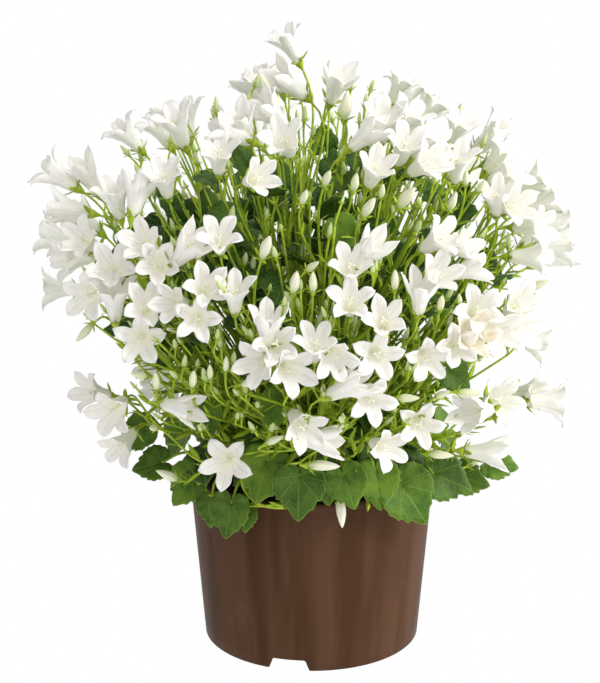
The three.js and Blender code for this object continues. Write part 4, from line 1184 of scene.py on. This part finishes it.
SOIL_ROUGHNESS = ((0.35, 1.3), (0.9, 0.8))
CRUMB = [(0.05, -1), (0.8, -0.6), (1, 0.1), (0.6, 0.8), (0.05, 1)]


def soil_level(radius, inside):
    return SOIL.surface + SOIL.mound * (1 - (radius / inside) ** 4)


def make_soil():
    """A rough mound of crumbs. Each tuft's stems come up through it."""
    sides = 120
    draw = seeded_draw(SEED.soil)
    bottom = POT.floor + POT.plate + 0.4
    inside = outer_radius(SOIL.surface) - POT.wall - SOIL.gap
    profile = [(0.3, bottom), (outer_radius(bottom) - POT.wall - SOIL.gap, bottom),
               (inside, SOIL.surface - 0.4)]
    smooth_rows = len(profile)
    profile += [(r, soil_level(r, inside)) for r in np.linspace(inside - 0.6, 0.3, 28)]
    points, faces, uvs = lathe(profile, sides)
    for i in range(smooth_rows * sides, len(points)):
        at = Vector(points[i])
        points[i, 2] += sum(noise.noise(at * scale) * rise for scale, rise in SOIL_ROUGHNESS)
    batch = Batch()
    batch.add((points, faces, uvs))
    crumb, *form = lathe(CRUMB, 7)
    for _ in range(SOIL.lumps):
        radius, angle = (inside - 2) * math.sqrt(draw()), TAU * draw()
        size = 0.5 + 1.1 * draw() ** 2
        turn = turned(unit(point(draw() - 0.5, draw() - 0.5, draw() - 0.3)))
        stretched = crumb * [size, size * vary(draw, 0.6, 0.4), size * 0.8]
        height = soil_level(radius, inside) + 0.4
        batch.add((stretched, *form), turn, ring_point(radius, angle, height))
    batch.piece("soil_crumbs", soil_material(), "peat", ["soil"])


# The plant

PETAL = petal_material()
GREEN = stem_material()
BLADE = leaf_material()
BELL_VARIANTS = 7

# Stems: radius at the foot and at the tip, then their narrow leaves as count, length and shade
STEMS = dict(
    lead=(1.0, 0.78, 9, 12, 0.55),
    branch=(0.663, 0.55, 4, 8, 0.8),
    shoot=(0.85, 0.5, 11, 10, 0.75),
    runner=(0.85, 0.65, 7, 8, 0.85),
    leaf_stalk=(0.9, 0.585, 0, 0, 0),
    deep_leaf_stalk=(0.6, 0.39, 0, 0, 0),
    hanging_bud=(1.0, 0.55, 0, 0, 0),
    small_bud=(0.5, 0.5, 0, 0, 0),
)
SIDE_LEAF = Values(
    first=0.2, span=0.7, jitter=0.7, forward=(0.5, 0.8), rise=0.15, tilt=0.4, length=(0.7, 0.6),
    shades=0.4, lift=(-0.15, 0.3), half_width=(0.1, 0.07),
)


def dress_bells(bells):
    """One piece of petals for each node of bells, and one for bells that share a tuft's node."""
    batches = {}
    style, *style_form = style_shape()
    for i, one in enumerate(bells):
        node = one["node"] or "extra"
        batch = batches.setdefault(node, Batch())
        bell, *form = bell_shape(round(one["open"], 1), i % BELL_VARIANTS)
        tone = (0, one.get("withered", 0), 0)
        batch.add((bell * one["size"], *form), one["turn"], one["base"], tone)
        batch.add((style * one["size"], *style_form), one["turn"], one["base"], STYLE.tone)
    for node, batch in sorted(batches.items()):
        if node.startswith("bells"):
            batch.piece(node.replace("bells", "petals"), PETAL, "petal", [node])
        else:
            batch.piece("petals_on_" + node, PETAL, "petal")


def add_side_leaf(batch, place, along, length, shade, draw):
    """A narrow leaf on a stem, a little longer or shorter and lighter or darker than told."""
    aside = unit(np.cross(along, random_way(draw)))
    way = unit(aside + along * vary(draw, *SIDE_LEAF.forward) + point(0, 0, SIDE_LEAF.rise))
    face = unit(along - way * (along @ way) + point(0, 0, SIDE_LEAF.tilt))
    face = unit(face - way * (face @ way))
    length = length * vary(draw, *SIDE_LEAF.length)
    shade = min(max(shade + either_way(draw, SIDE_LEAF.shades), 0), 1)
    lift = vary(draw, *SIDE_LEAF.lift)
    half_width = length * vary(draw, *SIDE_LEAF.half_width)
    add_sliver(batch, place, way, face, length, half_width, shade, lift)


def grow_stem(batch, path, kind, shade, draw):
    """A stem of one kind, with its narrow leaves set singly along it."""
    foot, tip, count, length, leaf_shade = STEMS[kind]
    batch.add(tube(path, np.linspace(foot, tip, len(path))), tone=(shade, 0, 0))
    for k in range(count):
        share = SIDE_LEAF.first + SIDE_LEAF.span * (k + draw() * SIDE_LEAF.jitter) / count
        i = int(share * (len(path) - 1))
        along = unit(path[i + 1] - path[i])
        add_side_leaf(batch, path[i], along, length, leaf_shade, draw)


def dress_heads(stems, buds, foot, heads, draw):
    """Stems that fork to the bells and the larger buds, with a calyx under each."""
    for group in group_heads(heads):
        middle = sum(head["base"] for head in group) / len(group)
        lead = curve_through(stem_path(root_towards(foot, middle), middle), 7)
        grow_stem(stems, lead, "lead", vary(draw, 0.2, 0.6), draw)
        way = unit(lead[-1] - lead[-2])
        for head in group:
            base, axis, turn, size = head["base"], head["axis"], head["turn"], head["size"]
            depth = BUD_DEPTH if head.get("bud") else CALYX_DEPTH
            branch = bow(lead[-1], way, base - axis * depth * size, axis, 9)
            grow_stem(stems, branch, "branch", 0.8, draw)
            if head.get("bud"):
                tone = (vary(draw, 0.6, 0.3), 0, min(max(1.15 - size, 0.1), 0.6))
                add_bud(stems, buds, base, turn, size, tone, 0.62 * size, 0.85, draw)
            else:
                add_calyx(stems, base, turn, size, 0.75, draw)


def dress_leaves(stems, leaves, foot, listed, draw):
    """Leaves on their stalks. One that brings a shade of its own is deep inside, and plainer."""
    for k, one in enumerate(listed):
        deep = "shade" in one
        base, along, size = one["base"], one["along"], one["size"]
        end = base + along * LEAF.stalk_end * size - one["outward"] * 0.3
        path = curve_through([root_towards(foot, base), one["over"], end], 6)
        grow_stem(stems, path, "deep_leaf_stalk" if deep else "leaf_stalk", 0.5, draw)
        # A low or inner leaf brings its own darker tone, painted shade; a rim leaf gets a random one
        shade = one.get("shade", vary(draw, 0.3, 0.6))
        size = size * (1 if deep else LEAF_SHRINK)
        add_heart(leaves, base, along, one["outward"], size, shade, k % LEAF_VARIANTS, not deep)


def dress_hanging_bud(stems, buds, foot, one, draw):
    base, turn = one["base"], turned(one["axis"])
    path = curve_through([root_towards(foot, base), one["over"], base], 8)
    grow_stem(stems, path, "hanging_bud", 0.8, draw)
    add_bud(stems, buds, base, turn, one["size"], (0.5, 0, 0.1), 0.75, 0.8, draw)


def dress_runner(stems, buds, foot, places, draw):
    """A stem that comes over the rim, trails along it and ends in a small bud."""
    over = above_rim(places[0], OVER_RIM["runner"])
    path = curve_through([root_towards(foot, places[0]), over, *places], 6)
    grow_stem(stems, path, "runner", 0.95, draw)
    turn = turned(unit(path[-1] - path[-2]))
    add_bud(stems, buds, path[-1], turn, 0.6, (1.0, 0, 0.4), 0.45, 0.9, draw, 1.1)


def dress_shoot(stems, buds, foot, shoot, draw):
    """A leafy shoot inside the dome that ends in small green buds."""
    goal = shoot["goal"]
    root, knee, _ = stem_path(root_towards(foot, goal), goal)
    path = curve_through([root, knee, goal], 8)
    grow_stem(stems, path, "shoot", vary(draw, 0.2, 0.8), draw)
    way = unit(path[-1] - path[-2])
    for k in range(shoot["buds"]):
        aside = point(draw() - 0.5, draw() - 0.5, vary(draw, *SHOOT.rise))
        axis = unit(way + aside * SHOOT.spread)
        size = vary(draw, *SHOOT.bud)
        end = path[-1 - int(SHOOT.fork_span * draw())] if k else path[-1]
        base = end + axis * vary(draw, *SHOOT.stalk)
        grow_stem(stems, bow(end, way, base, axis, 5), "small_bud", 0.9, draw)
        turn = turned(axis, TAU * draw())
        tone = (1.0, 0, 0.95 - 0.6 * size)
        add_bud(stems, buds, base, turn, size, tone, 0.72 * size, 0.9, draw, 1.1)


def dress_tuft(index, tuft, node):
    """All that grows from one foot, as up to three pieces that stand for its node together."""
    draw = seeded_draw(SEED.tufts + index)
    stems, buds, leaves = Batch(), Batch(), Batch()
    foot = tuft["foot"]
    top = foot + point(0, 0, TUFT.sunk + TUFT.top)
    stems.add(tube([foot, mix(foot, top, 0.6), top], TUFT.radii, 10), tone=(0.25, 0, 0))
    dress_heads(stems, buds, foot, tuft["heads"], draw)
    dress_leaves(stems, leaves, foot, tuft["leaves"], draw)
    for shoot in tuft["shoots"]:
        dress_shoot(stems, buds, foot, shoot, draw)
    for one in tuft["hanging"]:
        dress_hanging_bud(stems, buds, foot, one, draw)
    for places in tuft["runners"]:
        dress_runner(stems, buds, foot, places, draw)
    stems.piece(f"stems_{index + 1}", GREEN, "foliage", [node])
    if leaves.points:
        leaves.piece(f"leaves_{index + 1}", BLADE, "foliage", [node])
    if buds.points:
        buds.piece(f"buds_{index + 1}", PETAL, "petal", [node])


def grow_plant():
    find = corner_finder()
    bells = list_bells()
    for one in bells:
        settle(one, find)
    tufts = list_tufts()
    for head in bells + list_buds():
        tuft_towards(tufts, head["base"])["heads"].append(head)
    for shoot in list_shoots():
        tuft_towards(tufts, shoot["goal"])["shoots"].append(shoot)
    for one in list_leaves() + list_low_leaves() + list_inner_leaves():
        outer_tuft_near(tufts, one["base"])["leaves"].append(one)
    bud = hanging_bud()
    outer_tuft_near(tufts, bud["base"])["hanging"].append(bud)
    for pixels in SEEN_RUNNERS:
        places = [meet_cylinder(ray_through(*pixel), RUNNER_RADIUS) for pixel in pixels]
        outer_tuft_near(tufts, places[0])["runners"].append(places)
    dress_bells(bells)
    for index, tuft in enumerate(tufts):
        dress_tuft(index, tuft, find(tuft["foot"] + point(TUFT.base, 0, 0)))


# Floor, light and camera

LIGHTS = dict(key=((0.95, -0.75, 1.1), 10), side=((1.2, 0.0, 0.4), 8))
LIGHT_SIZE = 0.5
LIT_PLACE = (0, 0, 0.15)
FLOOR_REACH = 6.0


def aim_at(made, place, goal):
    """Puts a light or the camera at a place and points it at a goal."""
    made.location = place
    way = Vector(np.subtract(goal, place))
    made.rotation_euler = way.to_track_quat("-Z", "Y").to_euler()


def make_floor():
    mesh = bpy.data.meshes.new("floor")
    signs = [(-1, -1), (1, -1), (1, 1), (-1, 1)]
    corners = [(x * FLOOR_REACH, y * FLOOR_REACH, 0) for x, y in signs]
    mesh.from_pydata(corners, [], [(0, 1, 2, 3)])
    glow = Wiring("pale_floor", 1.0, Specular_IOR_Level=0.0, Emission_Strength=1.0,
                  Base_Color=(0, 0, 0), Emission_Color=COLOUR.floor)
    mesh.materials.append(glow.material)
    floor = add_object("floor", mesh)


def make_light(name, place, watts):
    data = bpy.data.lights.new(name, "AREA")
    data.shape, data.size, data.energy = "DISK", LIGHT_SIZE, watts
    aim_at(add_object(name, data), place, LIT_PLACE)


def make_world():
    """White all round, but dimmer on the left, so that the pot and the blooms turn away there."""
    world = bpy.data.worlds.new("studio")
    world.use_nodes = True
    nodes, links = world.node_tree.nodes, world.node_tree.links
    split = nodes.new("ShaderNodeSeparateXYZ")
    links.new(nodes.new("ShaderNodeTexCoord").outputs["Generated"], split.inputs["Vector"])
    dim = nodes.new("ShaderNodeMapRange")
    dim.interpolation_type = "SMOOTHSTEP"
    for key, number in (("From Min", -0.9), ("From Max", -0.1), ("To Min", 0.3), ("To Max", 1.0)):
        dim.inputs[key].default_value = number
    links.new(split.outputs["X"], dim.inputs["Value"])
    links.new(dim.outputs["Result"], nodes["Background"].inputs["Color"])
    bpy.context.scene.world = world
    settings = bpy.context.scene.view_settings
    settings.view_transform = "Standard"
    settings.look = "None"


def make_camera():
    data = bpy.data.cameras.new("camera")
    data.sensor_width = 36
    data.lens = data.sensor_width * PHOTO.focal / PHOTO.height
    data.clip_end = 20
    camera = add_object("camera", data)
    aim_at(camera, EYE * MM, AIM * MM)
    bpy.context.scene.camera = camera


make_camera()
make_world()
for name, (place, watts) in LIGHTS.items():
    make_light(name, place, watts)
make_floor()
make_pot()
make_soil()
grow_plant()
